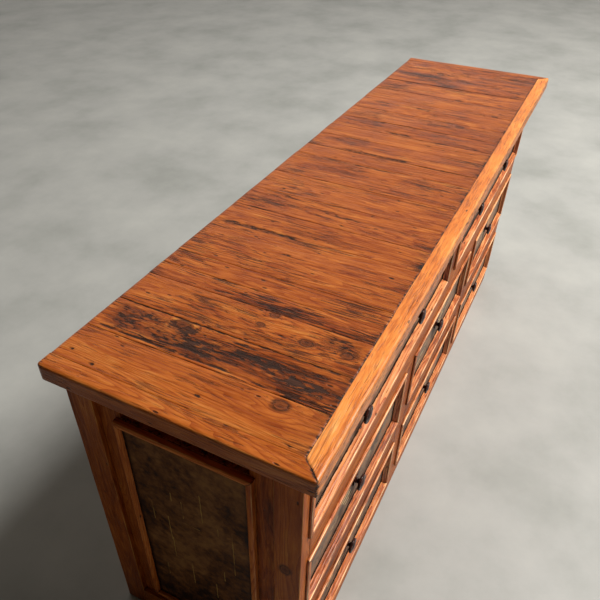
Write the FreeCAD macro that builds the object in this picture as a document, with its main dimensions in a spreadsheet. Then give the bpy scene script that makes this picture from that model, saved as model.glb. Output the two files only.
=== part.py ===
import FreeCAD, Part
import os

import Sketcher
from FreeCAD import Placement, Rotation, Vector

# Sideboard of reclaimed pine with eight slate-faced drawers.
# X runs along the length, the drawers face -Y, Z is up and the feet stand on Z = 0.
# All sizes are in millimetres.

doc = FreeCAD.newDocument("Sideboard")
sheet = doc.addObject("Spreadsheet::Sheet", "Sizes")

SIZES = (
    # Whole piece
    ("top_length", 1951, "length of the top"),
    ("top_depth", 510, "depth of the top"),
    ("top_thick", 35, "thickness of the top"),
    ("total_height", 850, "floor to top"),
    ("end_overhang", 46, "top past the end posts"),
    ("front_overhang", 40, "top past the front posts"),
    ("back_set", 8, "carcass past the top's back edge"),
    # Top
    ("frame_width", 33, "width of the rails that frame the top"),
    ("tongue_long", 10, "tongue of a board in its rail"),
    ("tongue_thick", 10, "thickness of that tongue"),
    ("board_gap", 0.4, "open joint between two boards"),
    ("board_bevel", 1.2, "bevel along a board's joint"),
    ("top_arris", 5, "rounding of the top's outer edge"),
    ("under_arris", 3, "rounding of its lower edge"),
    # Carcass front
    ("post_reveal", 27.5, "post that shows beside a drawer"),
    ("muntin_reveal", 68, "muntin that shows between two drawers"),
    ("bottom_reveal", 68, "bottom rail that shows"),
    ("middle_reveal", 80, "middle rail that shows"),
    ("upper_reveal", 74, "upper rail that shows"),
    ("top_reveal", 55, "top rail that shows"),
    ("lap", 8, "drawer moulding over the carcass"),
    ("front_post_depth", 54, "front post along Y"),
    ("back_post_depth", 57, "back post along Y"),
    ("rail_depth", 40, "front rails and muntins along Y"),
    ("post_arris", 2, "rounding of a post's outer edges"),
    ("rail_lift", 2, "lowest rails above the floor"),
    ("tenon_long", 22, "tenons of the front rails"),
    ("tenon_thick", 14, "thickness of those tenons"),
    ("tenon_shoulder", 8, "shoulder above and below a tenon"),
    # Fits
    ("fit", 0.3, "gap where two pieces only just clear"),
    ("side_play", 1.5, "drawer to carcass at each side"),
    ("top_play", 2, "drawer to carcass above"),
    # Drawer front
    ("mould_proud", 6, "crest of the drawer moulding before the carcass"),
    ("mould_width", 19.5, "drawer moulding across its face"),
    ("crest_width", 11, "rounded crest of that moulding"),
    ("crest_drop", 4.5, "depth of the step inside the crest"),
    ("crest_round", 3.5, "rounding of the crest"),
    ("slate_set", 10.5, "slate behind the carcass face"),
    ("slate_thick", 6, "thickness of a drawer slate"),
    ("slate_play", 1, "slate to the moulding's tail"),
    ("rebate", 4, "moulding's lip over the slate"),
    ("front_thick", 18, "thickness of the drawer front"),
    # Drawer box
    ("side_thick", 12, "drawer side"),
    ("side_drop", 12, "drawer side below the front's upper edge"),
    ("box_back_thick", 12, "drawer back"),
    ("box_bottom_thick", 6, "drawer bottom"),
    ("groove_deep", 5, "groove that holds the bottom"),
    ("groove_up", 8, "groove above the side's lower edge"),
    ("tail_long", 12, "dovetail into the drawer front"),
    ("tail_wide", 30, "dovetail at its tip"),
    ("tail_flare", 4, "dovetail narrower at its root, each side"),
    ("behind_drawer", 15, "space behind a closed drawer"),
    # Knobs
    ("rosette_radius", 15, "round plate of a knob"),
    ("rosette_thick", 2.5, "thickness of that plate"),
    ("stem_radius", 6, "stem of a knob"),
    ("knob_radius", 20, "head of a knob"),
    ("knob_neck", 9, "slate to the back of the head"),
    ("knob_rim", 8.5, "thickness of the head at its rim"),
    ("knob_crown", 3, "rise of the head's crown"),
    ("knob_back_slope", 2, "rise of the head's back"),
    ("knob_round", 2.8, "rounding of the rim"),
    ("knob_apart", 349, "two knobs of a wide drawer"),
    ("knob_drop_wide", 24, "knob below the middle of a wide slate"),
    ("knob_drop_narrow", 10.5, "knob below the middle of a narrow slate"),
    # Ends
    ("end_recess", 12, "end panel behind the posts' face"),
    ("end_rail_top", 70, "upper edge of the end's bottom rail"),
    ("end_stile", 40, "stile that shows beside the end moulding"),
    ("end_mould_low", 28, "end moulding above the bottom rail"),
    ("end_mould_high", 104, "end moulding below the top"),
    ("end_mould_proud", 2, "end moulding before the posts' face"),
    ("end_mould_width", 14, "end moulding across its face"),
    ("end_mould_round", 3.5, "rounding of its outer edge"),
    ("end_mould_slope", 3, "slant of its inner side"),
    ("end_slate_thick", 5.5, "thickness of an end slate"),
    ("end_rebate", 4, "end moulding's lip over the slate"),
    ("deep_rail_set", 25, "top rail of the end behind the posts' face"),
    # Back
    ("back_frame_thick", 22, "back frame"),
    ("back_top_rail", 80, "its top rail"),
    ("back_stile", 70, "its two stiles"),
    ("back_board_thick", 10, "back boards"),
    # Inside
    ("runner_thick", 20, "drawer runners"),
    ("runner_ledge", 25, "runner under a drawer side"),
    ("guide_high", 20, "guides between drawers"),
    ("kicker_high", 30, "kickers under the top"),
    ("bottom_thick", 10, "bottom boards"),
    ("ledger", 20, "strips that carry the bottom boards"),
)

# Sawn widths of the top's boards from left to right, which share the room in the frame.
TOP_BOARDS = (89, 89, 92, 46, 54, 150, 79, 94, 106, 131, 65, 87, 77, 80, 91, 107, 93, 107, 248)
BACK_BOARDS = 18
BOTTOM_BOARDS = 5
TAILS = 3


class Size:
    """A length that keeps its value together with the sheet expression it comes from."""

    def __init__(self, text, value):
        self.text = text
        self.value = value

    def join(self, sign, other, value):
        other = lift(other)
        return Size(f"({self.text} {sign} {other.text})", value(self.value, other.value))

    def __add__(self, other):
        return self.join("+", other, lambda a, b: a + b)

    def __sub__(self, other):
        return self.join("-", other, lambda a, b: a - b)

    def __mul__(self, other):
        return self.join("*", other, lambda a, b: a * b)

    def __truediv__(self, other):
        return self.join("/", other, lambda a, b: a / b)

    def __rsub__(self, other):
        return lift(other) - self

    def __neg__(self):
        return lift(0) - self


def lift(number):
    """A plain number as a Size."""
    return number if isinstance(number, Size) else Size(repr(number), float(number))


class Table:
    """Every cell of the sheet by its name."""


table = Table()
for row, (alias, number, note) in enumerate(SIZES, start=1):
    sheet.set(f"A{row}", alias)
    sheet.set(f"B{row}", str(number))
    sheet.set(f"C{row}", note)
    sheet.setAlias(f"B{row}", alias)
    setattr(table, alias, Size(f"Sizes.{alias}", float(number)))
doc.recompute()
s = table


def bind(item, prop, size):
    """Ties one property to the sheet."""
    item.setExpression(prop, lift(size).text)


def seat(item, x, y, z, rotation=Rotation()):
    """Puts a piece at a place that follows the sheet."""
    item.Placement = Placement(Vector(lift(x).value, lift(y).value, lift(z).value), rotation)
    bind(item, "Placement.Base.x", x)
    bind(item, "Placement.Base.y", y)
    bind(item, "Placement.Base.z", z)


NODES = []


def node(item, label):
    """Names a finished sub-part."""
    item.Label = label
    NODES.append(item)
    return item


def board(name, x, y, z):
    """A squared board between two faces along each axis."""
    piece = doc.addObject("Part::Box", name)
    bind(piece, "Length", x[1] - x[0])
    bind(piece, "Width", y[1] - y[0])
    bind(piece, "Height", z[1] - z[0])
    seat(piece, x[0], y[0], z[0])
    return piece


def fuse(name, pieces):
    joined = doc.addObject("Part::MultiFuse", name)
    joined.Shapes = pieces
    return joined


def cut(name, base, tool):
    result = doc.addObject("Part::Cut", name)
    result.Base = base
    result.Tool = tool
    return result


def group(name, pieces):
    """Separate pieces of one kind, kept apart as solids of one sub-part."""
    together = doc.addObject("Part::Compound", name)
    together.Links = pieces
    return together


def draw(body, plane, loops):
    """A sketch on one of the body's planes: closed outlines through corners that follow the sheet."""
    sketch = body.newObject("Sketcher::SketchObject", body.Name + "Sketch")
    support = [part for part in body.Origin.OriginFeatures if part.Role == plane][0]
    sketch.AttachmentSupport = (support, [""])
    sketch.MapMode = "FlatFace"
    for loop in loops:
        corners = [(lift(u), lift(v)) for u, v in loop]
        first = sketch.GeometryCount
        for number, (u, v) in enumerate(corners):
            u2, v2 = corners[(number + 1) % len(corners)]
            start = Vector(u.value, v.value, 0)
            end = Vector(u2.value, v2.value, 0)
            sketch.addGeometry(Part.LineSegment(start, end), False)
        for number, (u, v) in enumerate(corners):
            line = first + number
            following = first + (number + 1) % len(corners)
            sketch.addConstraint(Sketcher.Constraint("Coincident", line, 2, following, 1))
            fix_point(sketch, line, u, v)
    return sketch


def fix_point(sketch, line, u, v):
    """Holds a line's first point at its distances from the sketch's axes."""
    for kind, size, axis in (("DistanceX", u, -2), ("DistanceY", v, -1)):
        if size.text == "0":
            sketch.addConstraint(Sketcher.Constraint("PointOnObject", line, 1, axis))
            continue
        index = sketch.addConstraint(Sketcher.Constraint(kind, line, 1, size.value))
        sketch.setExpression(f"Constraints[{index}]", size.text)


def pad(body, sketch, length):
    feature = body.newObject("PartDesign::Pad", body.Name + "Pad")
    feature.Profile = sketch
    bind(feature, "Length", length)
    return feature


def pocket(body, sketch):
    """Cuts through the whole body, both ways from the sketch."""
    before = body.Shape.Volume
    feature = body.newObject("PartDesign::Pocket", body.Name + "Pocket")
    feature.Profile = sketch
    feature.Type = "ThroughAll"
    feature.Midplane = True
    doc.recompute()
    assert body.Shape.Volume < before, body.Name + ": the pocket cuts nothing"
    return feature


def along_x(shape, y, z):
    """Names of the straight edges along X that lie at the given height and depth."""
    found = []
    for number, edge in enumerate(shape.Edges, start=1):
        first = edge.Vertexes[0].Point
        last = edge.Vertexes[-1].Point
        level = all(abs(p.y - y.value) < 1e-3 and abs(p.z - z.value) < 1e-3 for p in (first, last))
        if level and abs(last.x - first.x) > 1:
            found.append(f"Edge{number}")
    return found


def soften(body, base, edges, kind, prop, size):
    """A fillet or chamfer along named edges."""
    assert edges, body.Name + ": no edge to soften"
    feature = body.newObject("PartDesign::" + kind, body.Name + kind)
    feature.Base = (base, edges)
    bind(feature, prop, size)
    doc.recompute()
    return feature


# Faces that the pieces share
half_top = s.top_length / 2
half = half_top - s.end_overhang
top_front = -(s.top_depth + s.back_set) / 2
top_back = top_front + s.top_depth
front = top_front + s.front_overhang
back = top_back + s.back_set
under = s.total_height - s.top_thick
post_wide = s.post_reveal + s.lap
inner = half - post_wide
back_inside = back - s.back_frame_thick - s.back_board_thick

# Heights of the three drawer rows, all as high as each other
row_high = (under - s.bottom_reveal - s.middle_reveal - s.upper_reveal - s.top_reveal) / 3
row_low = s.bottom_reveal
row_middle = row_low + row_high + s.middle_reveal
row_top = row_middle + row_high + s.upper_reveal
narrow = (half * 2 - s.post_reveal * 2 - s.muntin_reveal * 2) / 3
wide = (half * 2 - s.post_reveal * 2 - s.muntin_reveal) / 2
muntin_at = narrow / 2 + s.muntin_reveal / 2
muntin_half = s.muntin_reveal / 2 + s.lap


# The top: a front rail mitred to two end rails, which run square to the open back edge.
# Inside that frame the boards run from front to back, tongued into the rails.

def edge_at(shape, test):
    """Names of the edges whose middle passes a test."""
    found = []
    for number, edge in enumerate(shape.Edges, start=1):
        if test(edge.valueAt((edge.FirstParameter + edge.LastParameter) / 2)):
            found.append(f"Edge{number}")
    return found


def top_rail(name, label, corners, outside, slot):
    """One rail of the top: its plan with the mitre, its groove and its rounded outer edges."""
    body = doc.addObject("PartDesign::Body", name)
    pad(body, draw(body, "XY_Plane", [corners]), s.top_thick)
    doc.recompute()
    tip = slot(body)
    for level, size in ((s.top_thick, s.top_arris), (lift(0), s.under_arris)):
        edges = edge_at(tip.Shape, lambda p: abs(p.z - level.value) < 1e-3 and outside(p))
        tip = soften(body, tip, edges, "Fillet", "Radius", size)
    seat(body, 0, 0, under)
    return node(body, label)


groove_low = s.top_thick / 2 - s.tongue_thick / 2 - s.fit
groove_high = s.top_thick / 2 + s.tongue_thick / 2 + s.fit
mitre_y = top_front + s.frame_width
mitre_x = half_top - s.frame_width
groove_reach = s.tongue_long + s.fit


def front_slot(body):
    y0 = mitre_y - groove_reach
    y1 = mitre_y + 5
    loop = [(y0, groove_low), (y1, groove_low), (y1, groove_high), (y0, groove_high)]
    return pocket(body, draw(body, "YZ_Plane", [loop]))


top_rail("TopFrontRail", "top_front_rail",
         [(-half_top, top_front), (half_top, top_front), (mitre_x, mitre_y), (-mitre_x, mitre_y)],
         lambda p: p.y < top_front.value + 1e-3, front_slot)

for side, name, label in ((-1, "TopEndRailLeft", "top_end_rail_left"),
                          (1, "TopEndRailRight", "top_end_rail_right")):
    out = half_top * side
    inn = mitre_x * side

    def end_slot(body, inn=inn, side=side):
        x0 = inn - 5 * side
        x1 = inn + groove_reach * side
        loop = [(x0, groove_low), (x1, groove_low), (x1, groove_high), (x0, groove_high)]
        return pocket(body, draw(body, "XZ_Plane", [loop]))

    top_rail(name, label,
             [(out, top_front), (out, top_back), (inn, top_back), (inn, mitre_y)],
             lambda p, out=out: abs(p.x - out.value) < 1e-3, end_slot)

share = (mitre_x * 2) / sum(TOP_BOARDS)
pieces = []
left_edge = -mitre_x
for number, width in enumerate(TOP_BOARDS):
    right_edge = left_edge + share * width
    x0 = left_edge + s.board_gap / 2
    x1 = right_edge - s.board_gap / 2
    body = doc.addObject("PartDesign::Body", f"TopBoard{number + 1}")
    first = number == 0
    last = number == len(TOP_BOARDS) - 1
    plan_x0 = x0 - s.tongue_long if first else x0
    plan_x1 = x1 + s.tongue_long if last else x1
    plan_y = mitre_y - s.tongue_long
    plan = [(plan_x0, plan_y), (plan_x1, plan_y), (plan_x1, top_back), (plan_x0, top_back)]
    pad(body, draw(body, "XY_Plane", [plan]), s.top_thick)
    doc.recompute()
    low = s.top_thick / 2 - s.tongue_thick / 2
    high = s.top_thick / 2 + s.tongue_thick / 2
    shoulder = mitre_y + s.board_gap / 2
    loops = []
    for z0, z1 in ((lift(-5), low), (high, s.top_thick + 5)):
        loops.append([(plan_y - 5, z0), (shoulder, z0), (shoulder, z1), (plan_y - 5, z1)])
    tip = pocket(body, draw(body, "YZ_Plane", loops))
    if first or last:
        away = plan_x0 - 5 if first else plan_x1 + 5
        step = x0 if first else x1
        loops = []
        for z0, z1 in ((lift(-5), low), (high, s.top_thick + 5)):
            loops.append([(away, z0), (step, z0), (step, z1), (away, z1)])
        tip = pocket(body, draw(body, "XZ_Plane", loops))
    sides = (x0.value, x1.value)
    top_level = s.top_thick.value
    edges = edge_at(tip.Shape, lambda p: abs(p.z - top_level) < 1e-3
                    and min(abs(p.x - sides[0]), abs(p.x - sides[1])) < 1e-3)
    soften(body, tip, edges, "Chamfer", "Size", s.board_bevel)
    seat(body, 0, 0, under)
    pieces.append(body)
    left_edge = right_edge
node(group("TopBoards", pieces), "top_boards")

# Front frame: rails and muntins between the posts, every rail tenoned into both posts.

opening = {
    "low": (row_low + s.lap, row_low + row_high - s.lap),
    "middle": (row_middle + s.lap, row_middle + row_high - s.lap),
    "top": (row_top + s.lap, row_top + row_high - s.lap),
}
rail_levels = {
    "bottom": (s.rail_lift, opening["low"][0]),
    "middle": (opening["low"][1], opening["middle"][0]),
    "upper": (opening["middle"][1], opening["top"][0]),
    "top": (opening["top"][1], under),
}
rail_back = front + s.rail_depth
tenon_y = (front + s.rail_depth / 2 - s.tenon_thick / 2, front + s.rail_depth / 2 + s.tenon_thick / 2)


def tenon_z(level):
    return (level[0] + s.tenon_shoulder, level[1] - s.tenon_shoulder)


lower_muntins = (-muntin_at, muntin_at)
for name, level in rail_levels.items():
    spans = [(-inner, inner)]
    if name == "middle":
        edges = (-inner, lower_muntins[0] - muntin_half, lower_muntins[0] + muntin_half,
                 lower_muntins[1] - muntin_half, lower_muntins[1] + muntin_half, inner)
        spans = [edges[0:2], edges[2:4], edges[4:6]]
    solids = []
    for number, span in enumerate(spans):
        tag = f"Rail{name.capitalize()}{number + 1}"
        stick = board(tag + "Stick", span, (front, rail_back), level)
        parts = [stick]
        if number == 0:
            reach = (span[0] - s.tenon_long, span[0])
            parts.append(board(tag + "TenonLeft", reach, tenon_y, tenon_z(level)))
        if number == len(spans) - 1:
            reach = (span[1], span[1] + s.tenon_long)
            parts.append(board(tag + "TenonRight", reach, tenon_y, tenon_z(level)))
        solids.append(fuse(tag, parts) if len(parts) > 1 else stick)
    item = group(f"Rail{name.capitalize()}", solids) if len(solids) > 1 else solids[0]
    node(item, f"front_rail_{name}")

node(board("MuntinTop", (-muntin_half, muntin_half), (front, rail_back), opening["top"]),
     "muntin_top_row")
for name, at in (("left", lower_muntins[0]), ("right", lower_muntins[1])):
    span = (at - muntin_half, at + muntin_half)
    height = (rail_levels["bottom"][1], rail_levels["upper"][0])
    node(board(f"Muntin{name.capitalize()}", span, (front, rail_back), height),
         f"muntin_lower_{name}")

# Posts: their outer edges are rounded, and the front pair is mortised for the rails.

def ease(name, post, outer_x):
    """Rounds the two upright edges on a post's outer face."""
    doc.recompute()
    radius = s.post_arris.value
    rounded = doc.addObject("Part::Fillet", name)
    rounded.Base = post
    chosen = []
    for number, edge in enumerate(post.Shape.Edges, start=1):
        ends = [vertex.Point for vertex in edge.Vertexes]
        outer = all(abs(p.x - outer_x.value) < 1e-3 for p in ends)
        if outer and abs(ends[0].z - ends[1].z) > 1:
            chosen.append((number, radius, radius))
    rounded.Edges = chosen
    return rounded


for side, name in ((-1, "left"), (1, "right")):
    x = (-half, -inner) if side < 0 else (inner, half)
    tag = f"Post{name.capitalize()}"
    squared = board(tag + "Squared", x, (front, front + s.front_post_depth), (lift(0), under))
    blank = ease(tag + "Blank", squared, half * side)
    mortises = []
    for key, level in rail_levels.items():
        z = tenon_z(level)
        deep = s.tenon_long + s.fit
        reach = (-inner - deep, -inner + 5) if side < 0 else (inner - 5, inner + deep)
        mortises.append(board(f"{tag}Mortise{key.capitalize()}", reach,
                              (tenon_y[0] - s.fit, tenon_y[1] + s.fit),
                              (z[0] - s.fit, z[1] + s.fit)))
    node(cut(tag + "Front", blank, fuse(tag + "Mortises", mortises)), f"post_front_{name}")
    squared = board(tag + "BackSquared", x, (back - s.back_post_depth, back), (lift(0), under))
    node(ease(tag + "Back", squared, half * side), f"post_back_{name}")


def moulding_member(name, profile, length, width, rounds):
    """A length of moulding: its section drawn out along X, rounded and mitred at both ends.

    In the section, Y runs back from the crest and Z runs inwards from the outer edge."""
    body = doc.addObject("PartDesign::Body", name)
    tip = pad(body, draw(body, "YZ_Plane", [profile]), length)
    doc.recompute()
    for y, z, radius in rounds:
        tip = soften(body, tip, along_x(tip.Shape, y, z), "Fillet", "Radius", radius)
    past = width + 2
    left = [(lift(-2), lift(-2)), (past, past), (lift(-2), past)]
    right = [(length + 2, lift(-2)), (length + 2, past), (length - past, past)]
    pocket(body, draw(body, "XZ_Plane", [left, right]))
    return body


def moulding_frame(name, corner, along, turn, length, height, member):
    """Four mitred members round a rectangle that starts at its lower corner."""
    x, y, z = corner
    far_x = x + length * along[0]
    far_y = y + length * along[1]
    places = ((x, y, z, 0, length), (far_x, far_y, z, -90, height),
              (far_x, far_y, z + height, 180, length), (x, y, z + height, 90, height))
    members = []
    for number, (at_x, at_y, at_z, angle, size) in enumerate(places):
        body = member(f"{name}Member{number + 1}", size)
        spin = Rotation(Vector(0, 0, 1), turn).multiply(Rotation(Vector(0, 1, 0), angle))
        seat(body, at_x, at_y, at_z, spin)
        members.append(body)
    return members


# Ends: a recessed frame with a flat field, on it a slate held by a mitred moulding.

end_front = front + s.front_post_depth
end_back = back - s.back_post_depth
mould_y = (end_front + s.end_stile, end_back - s.end_stile)
mould_z = (s.end_rail_top + s.end_mould_low, under - s.end_mould_high)
stile_wide = s.end_stile + s.end_mould_width - s.end_rebate
end_tall = s.end_recess + s.end_mould_proud
end_lip = s.end_recess - s.end_slate_thick - s.fit + s.end_mould_proud
zero = lift(0)


def end_member(name, length):
    tail = s.end_mould_width - s.end_rebate
    crest = s.end_mould_width - s.end_mould_slope
    profile = [(zero, zero), (zero, crest), (end_lip, s.end_mould_width), (end_lip, tail),
               (end_tall, tail), (end_tall, zero)]
    rounds = [(zero, zero, s.end_mould_round), (zero, crest, s.end_mould_round / 2)]
    return moulding_member(name, profile, length, s.end_mould_width, rounds)


for side, name in ((-1, "left"), (1, "right")):
    tag = f"End{name.capitalize()}"

    def span(outer, deeper, side=side):
        """Faces along X at two depths behind the posts' outer face."""
        if side < 0:
            return (-half + outer, -half + deeper)
        return (half - deeper, half - outer)

    solids = [board(tag + "BottomRail", span(zero, post_wide), (end_front, end_back),
                    (s.rail_lift, s.end_rail_top))]
    stile_y = ((end_front, end_front + stile_wide), (end_back - stile_wide, end_back))
    for number, y in enumerate(stile_y):
        solids.append(board(f"{tag}Stile{number + 1}", span(s.end_recess, post_wide), y,
                            (s.end_rail_top, under)))
    field_y = (stile_y[0][1], stile_y[1][0])
    lower = (s.end_rail_top, mould_z[0] + s.end_mould_width - s.end_rebate)
    solids.append(board(tag + "LowerRail", span(s.end_recess, post_wide), field_y, lower))
    solids.append(board(tag + "Field", span(s.end_recess, s.deep_rail_set), field_y,
                        (lower[1], mould_z[1])))
    solids.append(board(tag + "DeepRail", span(s.deep_rail_set, post_wide), field_y,
                        (mould_z[1] - s.end_mould_width, under)))
    node(group(tag + "Frame", solids), f"end_frame_{name}")

    crest_x = -half - s.end_mould_proud if side < 0 else half + s.end_mould_proud
    corner_y = mould_y[1] if side < 0 else mould_y[0]
    along = (0, side)
    members = moulding_frame(tag + "Moulding", (crest_x, corner_y, mould_z[0]), along, 90 * side,
                             mould_y[1] - mould_y[0], mould_z[1] - mould_z[0], end_member)
    node(group(tag + "Moulding", members), f"end_moulding_{name}")

    edge = s.end_mould_width - s.end_rebate + s.slate_play
    node(board(tag + "Slate", span(s.end_recess - s.end_slate_thick, s.end_recess),
               (mould_y[0] + edge, mould_y[1] - edge), (mould_z[0] + edge, mould_z[1] - edge)),
         f"end_slate_{name}")

# Back: an open frame flush with the back posts, and vertical boards nailed inside it.

frame_y = (back - s.back_frame_thick, back)
bay = (inner * 2 - s.back_stile * 2) / 3
top_z = (under - s.back_top_rail, under)
bottom_z = (s.rail_lift, rail_levels["bottom"][1])
frame = [board("BackTopRail", (-inner, inner), frame_y, top_z),
         board("BackBottomRail", (-inner, inner), frame_y, bottom_z)]
for number in (1, 2):
    x = -inner + bay * number + s.back_stile * (number - 1)
    frame.append(board(f"BackStile{number}", (x, x + s.back_stile), frame_y, (bottom_z[1], top_z[0])))
node(group("BackFrame", frame), "back_frame")

planks = []
plank = (inner * 2) / BACK_BOARDS
for number in range(BACK_BOARDS):
    x = -inner + plank * number
    planks.append(board(f"BackBoard{number + 1}", (x + s.board_gap / 2, x + plank - s.board_gap / 2),
                        (back_inside, frame_y[0]), (s.rail_lift, under)))
node(group("BackBoards", planks), "back_boards")

# Inside: runners under the drawer sides, guides between drawers, kickers under the top,
# and loose bottom boards on two ledgers.

inside_y = (rail_back, back_inside)
runners = []
guides = []
for key, muntins in (("low", lower_muntins), ("middle", lower_muntins), ("top", (zero,))):
    level = opening[key][0]
    z = (level - s.runner_thick, level)
    runners.append(board(f"Runner{key}Left", (-inner, -inner + s.runner_ledge), inside_y, z))
    runners.append(board(f"Runner{key}Right", (inner - s.runner_ledge, inner), inside_y, z))
    for number, at in enumerate(muntins):
        reach = muntin_half + s.runner_ledge
        runners.append(board(f"Runner{key}{number}", (at - reach, at + reach), inside_y, z))
        guides.append(board(f"Guide{key}{number}", (at - muntin_half, at + muntin_half),
                            inside_y, (level, level + s.guide_high)))
node(group("Runners", runners), "drawer_runners")
node(group("Guides", guides), "drawer_guides")

kickers = []
reach = muntin_half + s.runner_ledge
for name, x in (("Left", (-inner, -inner + s.runner_ledge)), ("Centre", (-reach, reach)),
                ("Right", (inner - s.runner_ledge, inner))):
    kickers.append(board(f"Kicker{name}", x, inside_y, (under - s.kicker_high, under)))
node(group("Kickers", kickers), "top_kickers")

ledge_top = opening["low"][0] - s.runner_thick - s.bottom_thick
floor = []
strip = (inside_y[1] - inside_y[0]) / BOTTOM_BOARDS
for number in range(BOTTOM_BOARDS):
    y = inside_y[0] + strip * number
    floor.append(board(f"BottomBoard{number + 1}", (-inner, inner),
                       (y + s.board_gap / 2, y + strip - s.board_gap / 2),
                       (ledge_top, ledge_top + s.bottom_thick)))
node(group("BottomBoards", floor), "bottom_boards")
ledger_z = (ledge_top - s.ledger, ledge_top)
ledgers = [board("LedgerLeft", (-inner, -inner + s.ledger), inside_y, ledger_z),
           board("LedgerRight", (inner - s.ledger, inner), inside_y, ledger_z)]
for number, at in enumerate(lower_muntins):
    ledgers.append(board(f"LedgerMiddle{number + 1}", (at - s.ledger / 2, at + s.ledger / 2),
                         inside_y, ledger_z))
node(group("Ledgers", ledgers), "bottom_ledgers")

# Drawers. The front carries a slate inside a mitred moulding that laps over the carcass.

slate_y = front + s.slate_set
front_y = (slate_y + s.slate_thick, slate_y + s.slate_thick + s.front_thick)
mould_back = s.mould_proud + s.slate_set + s.slate_thick


def drawer_member(name, length):
    """Bolection section: crest over the joint, a step, then a long slope down to the slate."""
    lip_back = s.mould_proud - s.fit
    tail_out = s.lap + s.top_play
    tail_in = s.mould_width - s.rebate
    over_slate = s.mould_proud + s.slate_set - s.fit
    profile = [(zero, zero), (zero, s.crest_width), (s.crest_drop, s.crest_width),
               (over_slate - 1, s.mould_width), (over_slate, s.mould_width),
               (over_slate, tail_in), (mould_back, tail_in), (mould_back, tail_out),
               (lip_back, tail_out), (lip_back, zero)]
    rounds = [(zero, zero, s.crest_round), (zero, s.crest_width, s.crest_round)]
    return moulding_member(name, profile, length, s.mould_width, rounds)


def tails(name, x, root, z, grow):
    """Dovetails that flare forwards from their root, spread evenly over the height."""
    pitch = (z[1] - z[0]) / TAILS
    solids = []
    for number in range(TAILS):
        middle = z[0] + pitch * (number + 0.5)
        wedge = doc.addObject("Part::Wedge", f"{name}{number + 1}")
        tip = s.tail_wide / 2 + grow
        neck = s.tail_wide / 2 - s.tail_flare + grow
        values = {"Xmin": zero, "Xmax": x[1] - x[0] + grow, "X2min": zero,
                  "X2max": x[1] - x[0] + grow, "Ymin": zero, "Ymax": s.tail_long + grow,
                  "Zmin": -tip, "Zmax": tip, "Z2min": -neck, "Z2max": neck}
        for prop, size in values.items():
            setattr(wedge, prop, lift(size).value)
            bind(wedge, prop, size)
        seat(wedge, x[0], root - s.tail_long - grow, middle)
        solids.append(wedge)
    return solids


def knob(name, x, y, z):
    """A turned mushroom knob on its round plate, which projects towards -Y."""
    body = doc.addObject("PartDesign::Body", name)
    sketch = body.newObject("Sketcher::SketchObject", name + "Sketch")
    plane = [part for part in body.Origin.OriginFeatures if part.Role == "XY_Plane"][0]
    sketch.AttachmentSupport = (plane, [""])
    sketch.MapMode = "FlatFace"
    rim_low = s.knob_neck + s.knob_back_slope
    rim_high = s.knob_neck + s.knob_rim
    reach = rim_high + s.knob_crown
    corners = [(zero, zero), (s.rosette_radius, zero), (s.rosette_radius, s.rosette_thick),
               (s.stem_radius, s.rosette_thick + 1), (s.stem_radius, s.knob_neck),
               (s.knob_radius, rim_low), (s.knob_radius, rim_high), (zero, reach)]
    for number in range(len(corners) - 2):
        u, v = corners[number]
        u2, v2 = corners[number + 1]
        sketch.addGeometry(Part.LineSegment(Vector(u.value, v.value, 0),
                                            Vector(u2.value, v2.value, 0)), False)
    rise = s.knob_crown.value
    ball = (s.knob_radius.value ** 2 + rise ** 2) / (2 * rise)
    centre = Vector(0, reach.value - ball, 0)
    rim = Vector(s.knob_radius.value, rim_high.value, 0)
    middle = (rim - centre + Vector(0, ball, 0)).normalize() * ball + centre
    crown = Part.Arc(rim, middle, Vector(0, reach.value, 0))
    arc = sketch.addGeometry(crown, False)
    axis = sketch.addGeometry(Part.LineSegment(Vector(0, reach.value, 0), Vector(0, 0, 0)), False)
    lines = len(corners) - 2
    for number in range(lines - 1):
        sketch.addConstraint(Sketcher.Constraint("Coincident", number, 2, number + 1, 1))
    sketch.addConstraint(Sketcher.Constraint("Coincident", lines - 1, 2, arc, 1))
    sketch.addConstraint(Sketcher.Constraint("Coincident", arc, 2, axis, 1))
    sketch.addConstraint(Sketcher.Constraint("Coincident", axis, 2, 0, 1))
    sketch.addConstraint(Sketcher.Constraint("PointOnObject", arc, 3, -2))
    for number in range(lines):
        u, v = corners[number]
        fix_point(sketch, number, zero_if(u), zero_if(v))
    fix_end(sketch, lines - 1, corners[lines])
    fix_point(sketch, axis, zero, reach)
    feature = body.newObject("PartDesign::Revolution", name + "Turning")
    feature.Profile = sketch
    feature.ReferenceAxis = (sketch, ["V_Axis"])
    feature.Angle = 360
    doc.recompute()
    edges = []
    for number, edge in enumerate(feature.Shape.Edges, start=1):
        ends = [vertex.Point for vertex in edge.Vertexes]
        on_rim = all(abs(Vector(p.x, 0, p.z).Length - s.knob_radius.value) < 1e-3 for p in ends)
        if on_rim and abs(ends[0].y - ends[-1].y) < 1e-3:
            edges.append(f"Edge{number}")
    soften(body, feature, edges, "Fillet", "Radius", s.knob_round)
    seat(body, x, y, z, Rotation(Vector(0, 0, 1), 180))
    return body


def zero_if(size):
    return zero if size.value == 0 else size


def fix_end(sketch, line, corner):
    """Holds a line's second point."""
    for kind, size in (("DistanceX", corner[0]), ("DistanceY", corner[1])):
        index = sketch.addConstraint(Sketcher.Constraint(kind, line, 2, size.value))
        sketch.setExpression(f"Constraints[{index}]", size.text)


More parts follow.
